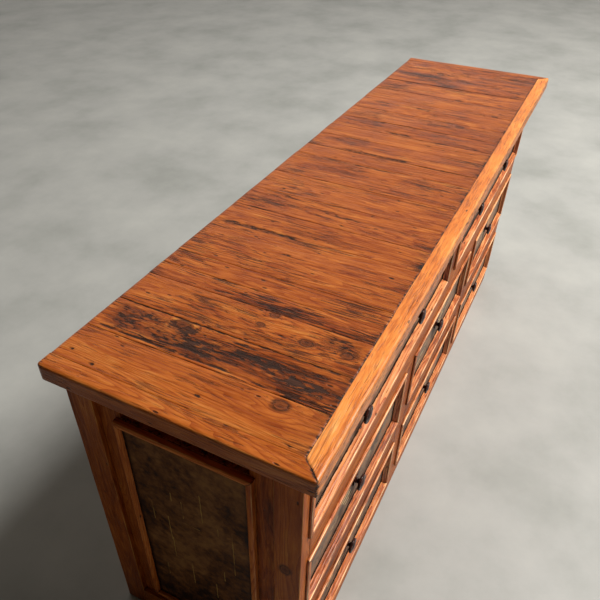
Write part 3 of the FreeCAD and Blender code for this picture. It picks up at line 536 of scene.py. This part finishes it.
def slate_sheet(low, high, axis, outward, seed):
    """A riven sheet between two corners in mm, whose face looks along one axis."""
    low, high = np.array(low, float), np.array(high, float)
    u_axis, v_axis = [k for k in range(3) if k != axis]
    counts = [max(2, round((high[k] - low[k]) / SLATE_STEP)) for k in (u_axis, v_axis)]
    u = np.linspace(low[u_axis], high[u_axis], counts[0] + 1)
    v = np.linspace(low[v_axis], high[v_axis], counts[1] + 1)
    grid_u, grid_v = np.meshgrid(u, v, indexing="ij")
    flat = np.stack((grid_u.ravel(), grid_v.ravel(), np.full(grid_u.size, seed * 11.3)), axis=1)
    bed = drift(flat, 75, seed) * 1.6 + drift(flat, 28, seed + 1) * 0.7
    level = np.floor(bed) + np.clip((bed - np.floor(bed)) * 5, 0, 1)
    relief = np.clip(CLEFT * (level + 3) + UNEVEN * drift(flat, 9, seed + 2), 0, DEEPEST)
    face = np.zeros((grid_u.size, 3))
    face[:, u_axis], face[:, v_axis] = flat[:, 0], flat[:, 1]
    front = high[axis] if outward > 0 else low[axis]
    face[:, axis] = front - outward * relief
    grid = np.arange(grid_u.size).reshape(grid_u.shape)
    quads = np.stack((grid[:-1, :-1], grid[1:, :-1], grid[1:, 1:], grid[:-1, 1:]), axis=-1)
    faces = [tuple(quad) for quad in quads.reshape(-1, 4).tolist()]
    rim = np.concatenate((grid[:, 0], grid[-1, 1:], grid[-2::-1, -1], grid[0, -2:0:-1])).tolist()
    base = len(face)
    rear = face[rim]
    rear[:, axis] = low[axis] if outward > 0 else high[axis]
    verts = np.concatenate((face, rear))
    for k in range(len(rim)):
        following = (k + 1) % len(rim)
        faces.append((rim[k], base + k, base + following, rim[following]))
    faces.append(tuple(range(base, base + len(rim))))
    normal = np.cross(np.eye(3)[u_axis], np.eye(3)[v_axis])[axis]
    if normal * outward < 0:
        faces = [f[::-1] for f in faces]
    place = np.stack((verts[:, u_axis], verts[:, v_axis], np.zeros(len(verts))), axis=1)
    place = place / 1000 + rng.uniform(-5, 5, 3)
    marks = np.stack((np.concatenate((level, np.zeros(len(rim)))),
                      (verts[:, u_axis] - (low[u_axis] + high[u_axis]) / 2) / 1000,
                      (verts[:, v_axis] - (low[v_axis] + high[v_axis]) / 2) / 1000), axis=1)
    sides = [(verts[:, k] - low[k], high[k] - verts[:, k]) for k in (u_axis, v_axis)]
    nearest = np.minimum(np.minimum(*sides[0]), np.minimum(*sides[1]))
    # The rim is darkened: dust, and painted shade beside the moulding's lip.
    rim_dust = 0.9 * np.clip(1 - (nearest - RIM_HIDDEN) / RIM_DUST_AND_SHADE, 0, 1) ** 1.5
    return verts, faces, place, marks, rim_dust


def riven_slate(name, stops, vein, veins, knobs=(), specular=0.35):
    """Riven slate: dull and uneven, in clouds of brown and grey, a little shiny where it was oiled.

    Thin pale veins show where it has cleft, and short pale bars lie beside the knobs. Each is given
    by its middle and its half size in mm from the middle of the sheet. A dark ring round each knob is
    rust and the knob's painted shadow, and the rim is darkened with dust and painted shade."""
    material, tree = blank(name)
    place = fact(tree, "grain")["Vector"]
    rim = fact(tree, "tone")["Fac"]
    bed, across, up = split(tree, fact(tree, "marks")["Vector"])
    broad = noise(tree, place, 7.0, 5.0, 0.62, 0.6)["Fac"]
    fine = noise(tree, place, 60.0, 4.0, 0.7)["Fac"]
    mixed = calc(tree, "MULTIPLY_ADD", bed, 0.04, calc(tree, "MULTIPLY_ADD", up, 0.25, broad))
    mixed = calc(tree, "MULTIPLY_ADD", calc(tree, "SUBTRACT", fine, 0.5), 0.75, mixed)
    stone = graded(tree, mixed, stops)

    flat = add(tree, "CombineXYZ", {"X": across, "Y": up}).outputs[0]
    for knob_u, knob_v in knobs:
        offset = vector(tree, "SUBTRACT", flat, (knob_u / 1000, knob_v / 1000, 0))
        away = add(tree, "VectorMath", {0: offset}, operation="LENGTH").outputs["Value"]
        # A dark ring round each knob: rust, and the knob's painted shadow.
        rust_and_shadow = ramp(tree, calc(tree, "MULTIPLY_ADD", broad, 0.05, away), *KNOB_RUST_AND_SHADOW, 0.85, 0.0)
        stone = over(tree, rust_and_shadow, stone, linear("#352015"))

    wavering = noise(tree, place, 90.0)["Color"]
    spot = split(tree, vector(tree, "MULTIPLY_ADD", wavering, (SHAKE, SHAKE, 0), flat))
    line = 0.0
    for middle_u, middle_v, half_u, half_v in veins:
        near_u = calc(tree, "COMPARE", spot["X"], middle_u / 1000 + SHAKE / 2, half_u / 1000)
        near_v = calc(tree, "COMPARE", spot["Y"], middle_v / 1000 + SHAKE / 2, half_v / 1000)
        line = calc(tree, "MULTIPLY_ADD", near_u, near_v, line)
    kept = ramp(tree, noise(tree, place, 16.0)["Fac"], 0.40, 0.52, 0.2, 1.0)
    faded = calc(tree, "MULTIPLY", calc(tree, "MINIMUM", line, kept),
                 calc(tree, "MULTIPLY_ADD", fine, 1.6, 0.05))
    stone = over(tree, faded, stone, linear(vein))
    # Darker along the rim: dust, and painted shade.
    dust = calc(tree, "MULTIPLY", rim, calc(tree, "MULTIPLY_ADD", fine, 0.8, 0.5))
    stone = over(tree, dust, stone, linear("#1c110b"))

    polish = ramp(tree, fine, 0.3, 0.7, 0.42, 0.66)
    height = calc(tree, "MULTIPLY_ADD", broad, 2.5, calc(tree, "MULTIPLY_ADD", faded, 0.6, fine))
    finish(tree, stone, polish, specular, height, 0.8, 0.0014)
    return material


# Middle and half size of each vein, from the middle of the sheet in mm.
END_VEINS = ((60, 20, 1, 42), (58, -50, 1, 38), (38, -85, 20, 1), (18, -126, 1, 40), (21, 107, 1, 28),
             (-25, 141, 1, 44), (-59, 88, 1, 12), (-91, 33, 1, 76), (-64, -70, 1, 18), (96, 60, 1, 30),
             (2, 64, 18, 1), (44, 136, 1, 14), (-40, -150, 1, 30), (88, -160, 1, 24))
end_slate = riven_slate(
    "riven_slate_end",
    ((0.32, "#231109"), (0.43, "#472814"), (0.52, "#613a1b"), (0.61, "#754b28"), (0.74, "#885e33")),
    "#b08a48", END_VEINS, specular=0.08)
for side, name in SIDES:
    low, high = span("end_slate_" + name)
    sheet = slate_sheet(low, high, 0, side, 7 + side)
    assemble(f"end_slate_{name}_sheet", [sheet], end_slate, "carcass", ["end_slate_" + name])

# Back: an open frame of two rails and two stiles, flush with the back posts, and vertical
# boards nailed to it from inside. Sawn pine, left rough and unwaxed where nobody looks.

BACK_Y = (227.0, 237.0, 259.0)  # front of the boards, front and back of the frame
BACK_RAILS = (76.0, 735.0)  # top of the lower rail and underside of the upper one
BACK_STILE = 70.0
BACK_BOARDS = 18
BOARD_GAP = 0.3             # half the open joint between two boards

sawn_pine = waxed_pine(
    "sawn_pine_back", ((0.28, "#5f4023"), (0.43, "#8f6840"), (0.56, "#a87f50"), (0.74, "#c49c69")),
    "#d3b183", wear=0.5, gloss=0.7, bump=0.9, cracks=0.3, specular=0.5)
bay = (2 * RAIL_X - 2 * BACK_STILE) / 3
sticks = []
for bottom, top in ((BACK_RAILS[1], UNDER_TOP), (LIFT, BACK_RAILS[0])):
    sticks.append(timber((-RAIL_X, BACK_Y[1], bottom), (RAIL_X, BACK_Y[2], top), 0, 1.0, (12, 20)))
for number in (1, 2):
    x = -RAIL_X + bay * number + BACK_STILE * (number - 1)
    start, end = (x, BACK_Y[1], BACK_RAILS[0]), (x + BACK_STILE, BACK_Y[2], BACK_RAILS[1])
    sticks.append(timber(start, end, 2, 1.0, (20, 12)))
assemble("back_frame_timbers", sticks, sawn_pine, "carcass", ["back_frame"])
planks = []
plank = 2 * RAIL_X / BACK_BOARDS
for number in range(BACK_BOARDS):
    x = -RAIL_X + plank * number
    start, end = (x + BOARD_GAP, BACK_Y[0], LIFT), (x + plank - BOARD_GAP, BACK_Y[1], UNDER_TOP)
    planks.append(timber(start, end, 2, 0.6, (25, 12), step_along=30))
assemble("back_boards_sawn", planks, sawn_pine, "carcass", ["back_boards"])

# Inside: runners, guides, kickers, and loose bottom boards on ledgers. Planed pine without
# stain, the colour of straw gone brown with age. These strips keep the shape they have.


def plain_pine(name, along, stops):
    """Unfinished planed pine: dull, straw brown, with soft brown late wood along the grain.

    along names the axis of the grain, or box for a drawer box: across its back, else along Y."""
    material, tree = blank(name)
    place = add(tree, "TexCoord").outputs["Object"]
    x, y, z = split(tree, place)
    first, second = (x, y) if along == "x" else (y, x)
    grain = add(tree, "CombineXYZ", {"X": first, "Y": second, "Z": z}).outputs[0]
    if along == "box":
        facing = split(tree, add(tree, "NewGeometry").outputs["Normal"])["Y"]
        turned = calc(tree, "ABSOLUTE", facing)
        grain = add(tree, "Mix", {0: turned, 4: grain, 5: place}, data_type="VECTOR").outputs[1]
    fibre = noise(tree, vector(tree, "MULTIPLY", grain, (8, 380, 380)), 1.0, 3.0)["Fac"]
    streak = noise(tree, vector(tree, "MULTIPLY", grain, (1.6, 55, 55)), 1.0, 4.0, 0.6)["Fac"]
    mixed = calc(tree, "MULTIPLY_ADD", fibre, 0.35, streak)
    mixed = calc(tree, "SUBTRACT", mixed, 0.175)
    finish(tree, graded(tree, mixed, stops), 0.68, 0.5, mixed, 0.5, 0.0005)
    return material


STRAW = ((0.25, "#6d4826"), (0.45, "#9a6e3e"), (0.60, "#b98c58"), (0.80, "#cda673"))
for name, along in (("drawer_runners", "y"), ("drawer_guides", "y"), ("top_kickers", "y"),
                    ("bottom_boards", "x"), ("bottom_ledgers", "y")):
    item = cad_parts[name]
    item.data.materials.clear()
    item.data.materials.append(plain_pine("planed_pine_" + name, along, STRAW))

# The top: old floor boards of many widths, laid from front to back with thin dark joints.
# They were scrubbed, burnt and gouged before they were stained, and then waxed.

TOP_LEFT = -975.5
TOP_FRONT = -259.0
TOP_BACK = 251.0
TOP_Z = (815.0, 850.0)
TOP_RAIL = 33.0
# Widths of the boards from left to right.
BOARDS = (89, 89, 92, 46, 54, 150, 79, 94, 106, 131, 65, 87, 77, 80, 91, 107, 93, 107, 248)

# Marks on the boards, in mm from the top's left and front edges. Knots have a radius.
KNOTS = ((104, 112, 12), (198, 358, 14), (254, 140, 10), (257, 64, 9), (297, 224, 8), (263, 234, 7),
         (1340, 160, 9), (1563, 224, 8), (1476, 88, 7), (1655, 421, 8), (1805, 354, 9), (1409, 421, 7))
HOLES = ((63, 236), (43, 430), (57, 485), (40, 64), (486, 293), (649, 243), (688, 273), (717, 409),
         (749, 440), (720, 197), (820, 169), (972, 401), (507, 76), (1197, 80))
# How dark the joint to the right of each board is.
JOINTS = (0.50, 1.0, 0.35, 0.45, 0.40, 0.35, 0.50, 0.50, 0.60, 0.30, 1.0, 0.45, 0.35, 0.55, 0.45, 0.40,
          0.45, 1.0, 0.3)
FIRST_JOINT = 0.6           # to the left of the first board
# Burnt and torn places: from and to, across the top and then along the boards, and how black.
BURNS = ((126, 209, 36, 500, 0.52), (140, 180, 40, 150, 0.76), (158, 198, 130, 265, 0.85),
         (174, 206, 300, 405, 0.72), (128, 136, 34, 505, 0.85), (158, 209, 385, 508, 0.50),
         (255, 300, 34, 130, 0.60), (214, 238, 120, 420, 0.42), (540, 560, 278, 505, 0.60),
         (1196, 1214, 249, 352, 0.62), (1385, 1412, 228, 276, 0.75), (207, 214, 34, 510, 0.85),
         (300, 306, 39, 170, 0.7),
         (676, 690, 60, 300, 0.45), (816, 826, 39, 280, 0.5), (872, 880, 180, 480, 0.45),
         (950, 960, 200, 430, 0.55), (1022, 1030, 39, 200, 0.6), (1029, 1041, 200, 430, 0.7),
         (1118, 1126, 340, 465, 0.6), (1161, 1169, 39, 260, 0.5), (1269, 1275, 34, 370, 0.55),
         (1425, 1440, 250, 480, 0.5), (1667, 1674, 34, 510, 0.75), (1745, 1765, 120, 330, 0.45))

# How the marks lie in the wood, in mm.
BURN_FADE = 30.0            # along the grain
HOLE = 4.5                  # radius of the dirt round a hole
TORN_DEPTH = 0.8
KNOT_DEPTH = 0.3
TOP_SKIN = 4.0              # below the upper face, where the marks end
JOINT_SKIN = 3.0
WORN_END = 35.0             # along the grain, at the end that hands rub


def aged(verts, grain, marks):
    """Adds the knots, holes and burnt streaks of the top to a board's marks, and sinks them in."""
    x = verts[:, 0] - TOP_LEFT
    y = verts[:, 1] - TOP_FRONT
    upper = verts[:, 2] > TOP_Z[1] - TOP_SKIN
    dark = marks[:, 1]
    for x0, x1, y0, y1, strength in BURNS:
        across = np.minimum(x - x0, x1 - x) / max(2.0, (x1 - x0) * 0.25)
        length = np.minimum(y - y0, y1 - y) / BURN_FADE
        dark = np.maximum(dark, strength * np.clip(across, -0.5, 1) * np.clip(length, 0, 1))
    for hole_x, hole_y in HOLES:
        away = np.hypot(x - hole_x, (y - hole_y) * 0.6)
        dark = np.maximum(dark, 1.4 * np.clip(1 - away / HOLE, 0, 1))
    knot = marks[:, 2]
    for knot_x, knot_y, size in KNOTS:
        away = np.hypot(x - knot_x, (y - knot_y) * 0.75) / size
        knot = np.minimum(knot, away)
        push = np.exp(-((away / 2.2) ** 2)) * np.sign(x - knot_x + 0.01) * size * 0.9
        grain[:, 1] -= push / 1000 * np.clip(away, 0, 1)
    marks[:, 1] = np.where(upper, dark, marks[:, 1])
    marks[:, 2] = np.where(upper, knot, NO_KNOT)
    sunk = TORN_DEPTH * np.clip(dark, 0, 1) + KNOT_DEPTH * np.exp(-knot ** 2)
    verts[:, 2] -= np.where(upper, sunk, 0)


top_pine = waxed_pine(
    "waxed_pine_top", ((0.28, "#45200b"), (0.42, "#904312"), (0.56, "#b25f20"), (0.78, "#d28d44")),
    "#c88a48", wear=0.2, gloss=0.36, bump=0.8, cracks=0.8)
left = TOP_LEFT + TOP_RAIL
unit = (-2 * left) / sum(BOARDS)
for number, width in enumerate(BOARDS, start=1):
    right = left + width * unit
    start = (left + 0.1, TOP_FRONT + TOP_RAIL + 0.15, TOP_Z[0])
    end = (right - 0.1, TOP_BACK - rng.uniform(0, 1.2), TOP_Z[1] - rng.uniform(0, 0.25))
    tone = 0.8 if number == 1 else rng.uniform(0.05, 0.75)
    board = timber(start, end, 1, 0.7, (17, 2.5), rough=0.3, dirt=(1.0, 0.2), step_along=5, tone=tone)
    verts, _, grain, marks, _ = board
    upper = verts[:, 2] > TOP_Z[1] - JOINT_SKIN
    before = JOINTS[number - 2] if number > 1 else FIRST_JOINT
    depth = np.where(verts[:, 0] < (left + right) / 2, before, JOINTS[number - 1])
    seam = np.stack((depth * 99, verts[:, 1], depth), axis=1)
    depth = depth * (0.8 + 0.45 * drift(seam, 70, 5) + 0.45 * drift(seam, 18, 6))
    marks[:, 1] = np.maximum(marks[:, 1], depth * marks[:, 0] * upper)
    marks[:, 0] = 0
    worn_end = rng.uniform(0.2, 0.6) * np.exp(-(verts[:, 1] - TOP_FRONT - TOP_RAIL) / WORN_END)
    marks[:, 1] = np.maximum(marks[:, 1], worn_end * upper)
    aged(verts, grain, marks)
    assemble(f"top_board_{number:02d}", [board], top_pine, "carcass", ["top_boards"])
    left = right

# The rails that frame the top: one along the front, mitred to one at each end, with tongues for
# the boards. The front one is a brighter orange than the boards; the end ones are like the boards.

RAIL_ROUNDS = (5.0, 3.0)    # outer arris above and below
INNER_ROUND = 0.4
CORNER_ROUND = 6.0
WORN_EDGE = 12.0            # mm from the outer edge where wear on a rail ends
FACE_SHADE = 0.4             # painted shade all over the front rail's face, which gets less light than its top


def ease_corner(verts, corner, inward):
    """Rounds an upright corner in plan, where the points lie within its rounding."""
    middle = np.array(corner) + np.array(inward) * CORNER_ROUND
    arm = verts[:, :2] - middle
    beyond = (arm * inward < 0).all(axis=1)
    reach = np.linalg.norm(arm, axis=1)
    scale = np.where(beyond & (reach > CORNER_ROUND), CORNER_ROUND / np.maximum(reach, 1e-6), 1)
    verts[:, :2] = middle + arm * scale[:, None]


rail_pine = waxed_pine(
    "waxed_pine_top_rail", ((0.28, "#b05c26"), (0.43, "#de7e34"), (0.56, "#ec9242"), (0.76, "#f5b064")),
    "#edb876", wear=0.2, gloss=0.38, specular=0.35, rings=0.2)
low, high = span("top_front_rail")
rounds = (INNER_ROUND, *RAIL_ROUNDS, INNER_ROUND)
rail = timber(low, high, 0, rounds, (11, 10), mitre=(1, 1), rough=0.3, dirt=(0.88, 0.88), step_along=6)
verts, marks = rail[0], rail[3]
marks[:, 0] *= verts[:, 1] < TOP_FRONT + WORN_EDGE
# The front face is darkened all over: painted shade.
marks[:, 1] = np.maximum(marks[:, 1], np.where(verts[:, 1] < TOP_FRONT + 2, FACE_SHADE, 0))
for side in (-1, 1):
    ease_corner(verts, (side * -TOP_LEFT, TOP_FRONT), (-side, 1))
assemble("top_front_rail_timber", [rail], rail_pine, "carcass", ["top_front_rail"])
for side, name in SIDES:
    low, high = span("top_end_rail_" + name)
    inner = (INNER_ROUND, INNER_ROUND)
    rounds = (*inner, *RAIL_ROUNDS[::-1]) if side < 0 else (*RAIL_ROUNDS, *inner)
    rail = timber(low, high, 1, rounds, (10, 11), rough=0.3, dirt=(0.88, 0.2), step_along=6, tone=0.8)
    verts, marks = rail[0], rail[3]
    inward = (verts[:, 0] - low[0]) if side < 0 else (high[0] - verts[:, 0])
    marks[:, 0] *= inward < WORN_EDGE
    share = np.clip((high[1] - verts[:, 1]) / (high[1] - low[1]), 0, 1)
    verts[:, 1] += inward * share
    for y, turn in ((TOP_FRONT, 1), (TOP_BACK, -1)):
        ease_corner(verts, (side * -TOP_LEFT, y), (-side, turn))
    assemble(f"top_end_rail_{name}_timber", [rail], top_pine, "carcass", ["top_end_rail_" + name])

# Drawer boxes: planed pine sides dovetailed into the front, a back, and a bottom in grooves.
# Each box keeps its shape, so its tails show in the ends of the drawer front.

ROWS = (("top", "ab"), ("middle", "abc"), ("low", "abc"))
DRAWERS = [f"drawer_{row}_{letter}" for row, letters in ROWS for letter in letters]
box_pine = plain_pine("planed_pine_drawer_box", "box", STRAW)
for name in DRAWERS:
    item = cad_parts[name + "_box"]
    item.data.materials.clear()
    item.data.materials.append(box_pine)

# Drawer fronts: a pine board, and round its face four lengths of bolection moulding, mitred and
# pinned, that lap over the carcass: a rounded crest, a step, and a long slope down to the slate.
# The moulding is a paler orange than the rest, and its arrises are worn to pale bare wood.

DRAWER_SECTION = (
    (0, 0, 3.5, 0), (0, 11, 3.4, 0), (4.5, 11, 0, 0.5), (5.3, 11.64, 0, 0.1), (9.2, 14.7, 0, 0),
    (9.9, 14.7, 0, 0.75), (10.3, 15.6, 0, 0.2), (13.8, 18.4, 0, 0), (15.2, 19.5, 0.3, 0.7),
    (16.2, 19.5, 0.2, 1), (16.2, 15.5, 0, 1), (22.5, 15.5, 0, 1), (22.5, 10, 0, 1),
    (5.7, 10, 0, 0.8), (5.7, 0, 0.4, 0.8))
FRONT_X = 9.5               # board inside the moulding's outer edge
FRONT_Z = (8.3, 10.0)
FRONT_Y = (-202.5, -184.5)
TAIL_PROUD = 0.15           # the boxes' tails stand this much proud of the board's ends

MOULDING_STOPS = ((0.28, "#7a4024"), (0.43, "#c26c3a"), (0.56, "#e29055"), (0.76, "#f4c08a"))
moulding_pine = waxed_pine("waxed_pine_drawer_moulding", MOULDING_STOPS, "#fadbaa", wear=1.0, rings=0.85)
for name in DRAWERS:
    low, high = span(name + "_front")
    lengths = mitred_frame(DRAWER_SECTION, low, (1, 0, 0), (0, 0, 1), (0, 1, 0),
                           high[0] - low[0], high[2] - low[2])
    assemble(name + "_moulding", lengths, moulding_pine, name, [name + "_front"])
    start = (low[0] + FRONT_X + TAIL_PROUD, FRONT_Y[0], low[2] + FRONT_Z[0])
    end = (high[0] - FRONT_X - TAIL_PROUD, FRONT_Y[1], high[2] - FRONT_Z[1])
    board = timber(start, end, 0, 0.6, (12, 40), dirt=(0, 0), rough=0.1)
    assemble(name + "_front_board", [board], carcass_pine, name, [name + "_front"])

# Drawer slates: sheets of the same riven slate, grey-brown with rusty clouds, held behind the
# moulding's lip. A dark ring round each knob is rust and the knob's painted shadow, and pale bars
# lie beside the knobs.

SLATE_STOPS = ((0.32, "#33251c"), (0.43, "#5c483a"), (0.52, "#7a6250"), (0.60, "#8b6b51"),
               (0.70, "#935a38"))
PALE_BAR_COLOUR = "#f0d49a"
# Middle and half size of each pale bar, from the middle of the sheet or from a knob in mm.
BARS = ((-57, -3, 22, 1.8), (-44, -20, 22, 2.0), (-32, -38, 21, 2.0), (93, -28, 16, 1.8), (80, -14, 16, 1.8),
        (128, -40, 22, 1.2), (-110, -30, 20, 1.0))
U_SCALES = (1, -0.8, 1.25, 1.1, -1.2, 0.75)   # so that no two narrow sheets have the same pale bars
KNOB_APART = 349.0
KNOB_DROP = (24.0, 10.5)    # below the middle of a wide slate and of a narrow one
pair = (-KNOB_APART / 2, KNOB_APART / 2)
wide_bars = [(u + knob, v, half_u, half_v) for knob in pair for u, v, half_u, half_v in BARS]
wide_slate = riven_slate("riven_slate_wide", SLATE_STOPS, PALE_BAR_COLOUR, wide_bars,
                         [(knob, -KNOB_DROP[0]) for knob in pair])
narrow_slate = riven_slate("riven_slate_narrow", SLATE_STOPS, PALE_BAR_COLOUR, BARS, [(0, -KNOB_DROP[1])])
for number, name in enumerate(DRAWERS):
    low, high = span(name + "_slate")
    sheet = slate_sheet(low, high, 1, -1, 20 + number)
    if number > 1:
        sheet[3][:, 1] *= U_SCALES[number - 2]
    stone = wide_slate if "top" in name else narrow_slate
    assemble(name + "_slate_sheet", [sheet], stone, name, [name + "_slate"])

# Knobs: cast iron, a round plate, a stem and a mushroom head in one casting, blackened and
# rubbed with wax. A casting is never quite round, and its skin is finely pitted.

# Radius, and height above the slate, in mm.
KNOB_PROFILE = ((15.0, 0.0), (15.0, 1.5), (14.2, 2.4), (12.6, 2.6), (11.6, 2.2), (7.4, 2.7), (6.2, 3.8),
                (5.8, 6.5), (6.6, 8.6), (11.0, 9.7), (17.2, 10.9), (19.2, 11.9), (20.0, 13.6), (20.0, 15.0),
                (19.4, 16.6), (18.0, 17.6), (16.4, 17.7), (15.2, 16.9), (14.2, 17.0), (12.0, 18.4),
                (8.0, 19.8), (4.0, 20.4), (1.2, 20.5))
KNOB_AROUND = 48            # points round a knob


def blackened_iron(name):
    """Blackened cast iron: nearly black, finely pitted, with soft highlights where it is waxed."""
    material, tree = blank(name)
    place = fact(tree, "grain")["Vector"]
    cloud = noise(tree, place, 120.0, 3.0)["Fac"]
    pits = noise(tree, place, 900.0)["Fac"]
    colour = graded(tree, cloud, ((0.3, "#1e0f0b"), (0.55, "#3a1d17"), (0.75, "#523027")))
    finish(tree, colour, ramp(tree, cloud, 0.3, 0.7, 0.16, 0.34), 0.15, pits, 0.35, 0.0004)
    return material


def casting(centre, seed):
    """A turned knob that points towards -Y, with the unevenness of a casting."""
    angles = np.arange(KNOB_AROUND) / KNOB_AROUND * 2 * math.pi
    rings = []
    for radius, out in KNOB_PROFILE:
        across, upward = radius * np.cos(angles), radius * np.sin(angles)
        rings.append(np.stack((across, np.full(KNOB_AROUND, -out), upward), axis=1))
    rings = np.array(rings)
    verts = rings.reshape(-1, 3)
    swell = 1 - 0.012 * (1 + drift(verts, 12, seed))
    verts[:, 0] *= swell
    verts[:, 2] *= swell
    grain = verts / 1000 + rng.uniform(-5, 5, 3)
    return verts + centre, skin(rings), grain, np.zeros((len(verts), 3)), rng.uniform(0, 1)


iron = blackened_iron("blackened_cast_iron")
for number, name in enumerate(DRAWERS):
    node = name + ("_knobs" if "top" in name else "_knob")
    low, high = span(node)
    middle = (low[0] + high[0]) / 2
    places = (middle - KNOB_APART / 2, middle + KNOB_APART / 2) if "top" in name else (middle,)
    for k, x in enumerate(places):
        centre = np.array((x, high[1], (low[2] + high[2]) / 2))
        label = name + "_knob" + (("_left", "_right")[k] if len(places) > 1 else "_cast")
        assemble(label, [casting(centre, 60 + number * 2 + k)], iron, name, [node])

# The room: a pale floor of floated screed, one soft lamp high up in front on the right, soft
# light from behind, and the camera where the photographer's was.

LAMP_AT, LAMP_AIM = (2.8, -3.9, 6.5), (0.8, -0.4, 0)
LAMP_SIZE, LAMP_POWER = 2.6, 970
GLOW_FROM = (0.78, 0.60, -0.30)  # where the room's soft light is brightest
FLOOR_HALF = 15             # metres


def screed(name):
    """Power-floated screed: pale grey, faintly clouded, with a dull sheen."""
    material, tree = blank(name)
    cloud = noise(tree, add(tree, "TexCoord").outputs["Object"], 2.2, 6.0, 0.6)["Fac"]
    colour = graded(tree, cloud, ((0.32, "#969894"), (0.5, "#a5a6a3"), (0.68, "#afb0ac")))
    shader = add(tree, "BsdfPrincipled", {"Base Color": colour, "Roughness": 0.55})
    add(tree, "OutputMaterial", {"Surface": shader.outputs[0]})
    return material


floor_mesh = bpy.data.meshes.new("floor")
corners = [(x * FLOOR_HALF, y * FLOOR_HALF, 0) for x, y in ((-1, -1), (1, -1), (1, 1), (-1, 1))]
floor_mesh.from_pydata(corners, [], [(0, 1, 2, 3)])
floor_mesh.materials.append(screed("floated_screed"))
floor = bpy.data.objects.new("floor", floor_mesh)
bpy.context.collection.objects.link(floor)

light = bpy.data.lights.new("key_lamp", "AREA")
light.shape = "DISK"
light.size = LAMP_SIZE
light.energy = LAMP_POWER
light.color = (1.0, 0.97, 0.92)
lamp = bpy.data.objects.new("key_lamp", light)
lamp.location = LAMP_AT
lamp.rotation_euler = (Vector(LAMP_AIM) - Vector(LAMP_AT)).to_track_quat("-Z", "Y").to_euler()
bpy.context.collection.objects.link(lamp)

# The room's soft light is brighter from the right and from behind the piece.
world = bpy.data.worlds.new("soft_room")
world.use_nodes = True
sky = world.node_tree
sky.nodes.clear()
view = add(sky, "TexCoord").outputs["Generated"]
side = add(sky, "VectorMath", {0: view, 1: GLOW_FROM}, operation="DOT_PRODUCT").outputs["Value"]
glow = ramp(sky, side, 0.1, 0.95, 0.036, 0.95)
tint = graded(sky, side, ((0.1, "#f4dfbe"), (0.8, "#f1efec")))
air = add(sky, "Background", {"Color": tint, "Strength": glow})
add(sky, "OutputWorld", {"Surface": air.outputs[0]})
bpy.context.scene.world = world
bpy.context.scene.view_settings.view_transform = "Standard"

# The camera was worked out from the photograph's edges, for a picture of 600 by 600 points.
YAW, PITCH, ROLL = (math.radians(angle) for angle in (63.23, 39.39, 0.64))
FOCAL_PX, CENTRE_PX, IMAGE_PX = 610.05, (286.87, 325.72), 600
SENSOR = 36                 # mm
CAMERA_AT = (-1.4423, -0.4452, 1.5374)
ahead = Vector((math.sin(YAW) * math.cos(PITCH), math.cos(YAW) * math.cos(PITCH), -math.sin(PITCH)))
level = ahead.cross(Vector((0, 0, 1))).normalized()
upright = level.cross(ahead)
right = level * math.cos(ROLL) + upright * math.sin(ROLL)
up = upright * math.cos(ROLL) - level * math.sin(ROLL)
lens = bpy.data.cameras.new("camera")
lens.sensor_width = SENSOR
lens.lens = SENSOR * FOCAL_PX / IMAGE_PX
lens.shift_x = 0.5 - CENTRE_PX[0] / IMAGE_PX
lens.shift_y = CENTRE_PX[1] / IMAGE_PX - 0.5
camera = bpy.data.objects.new("camera", lens)
turn = Matrix((right, up, -ahead)).transposed().to_4x4()
camera.matrix_world = Matrix.Translation(CAMERA_AT) @ turn
bpy.context.collection.objects.link(camera)
bpy.context.scene.camera = camera
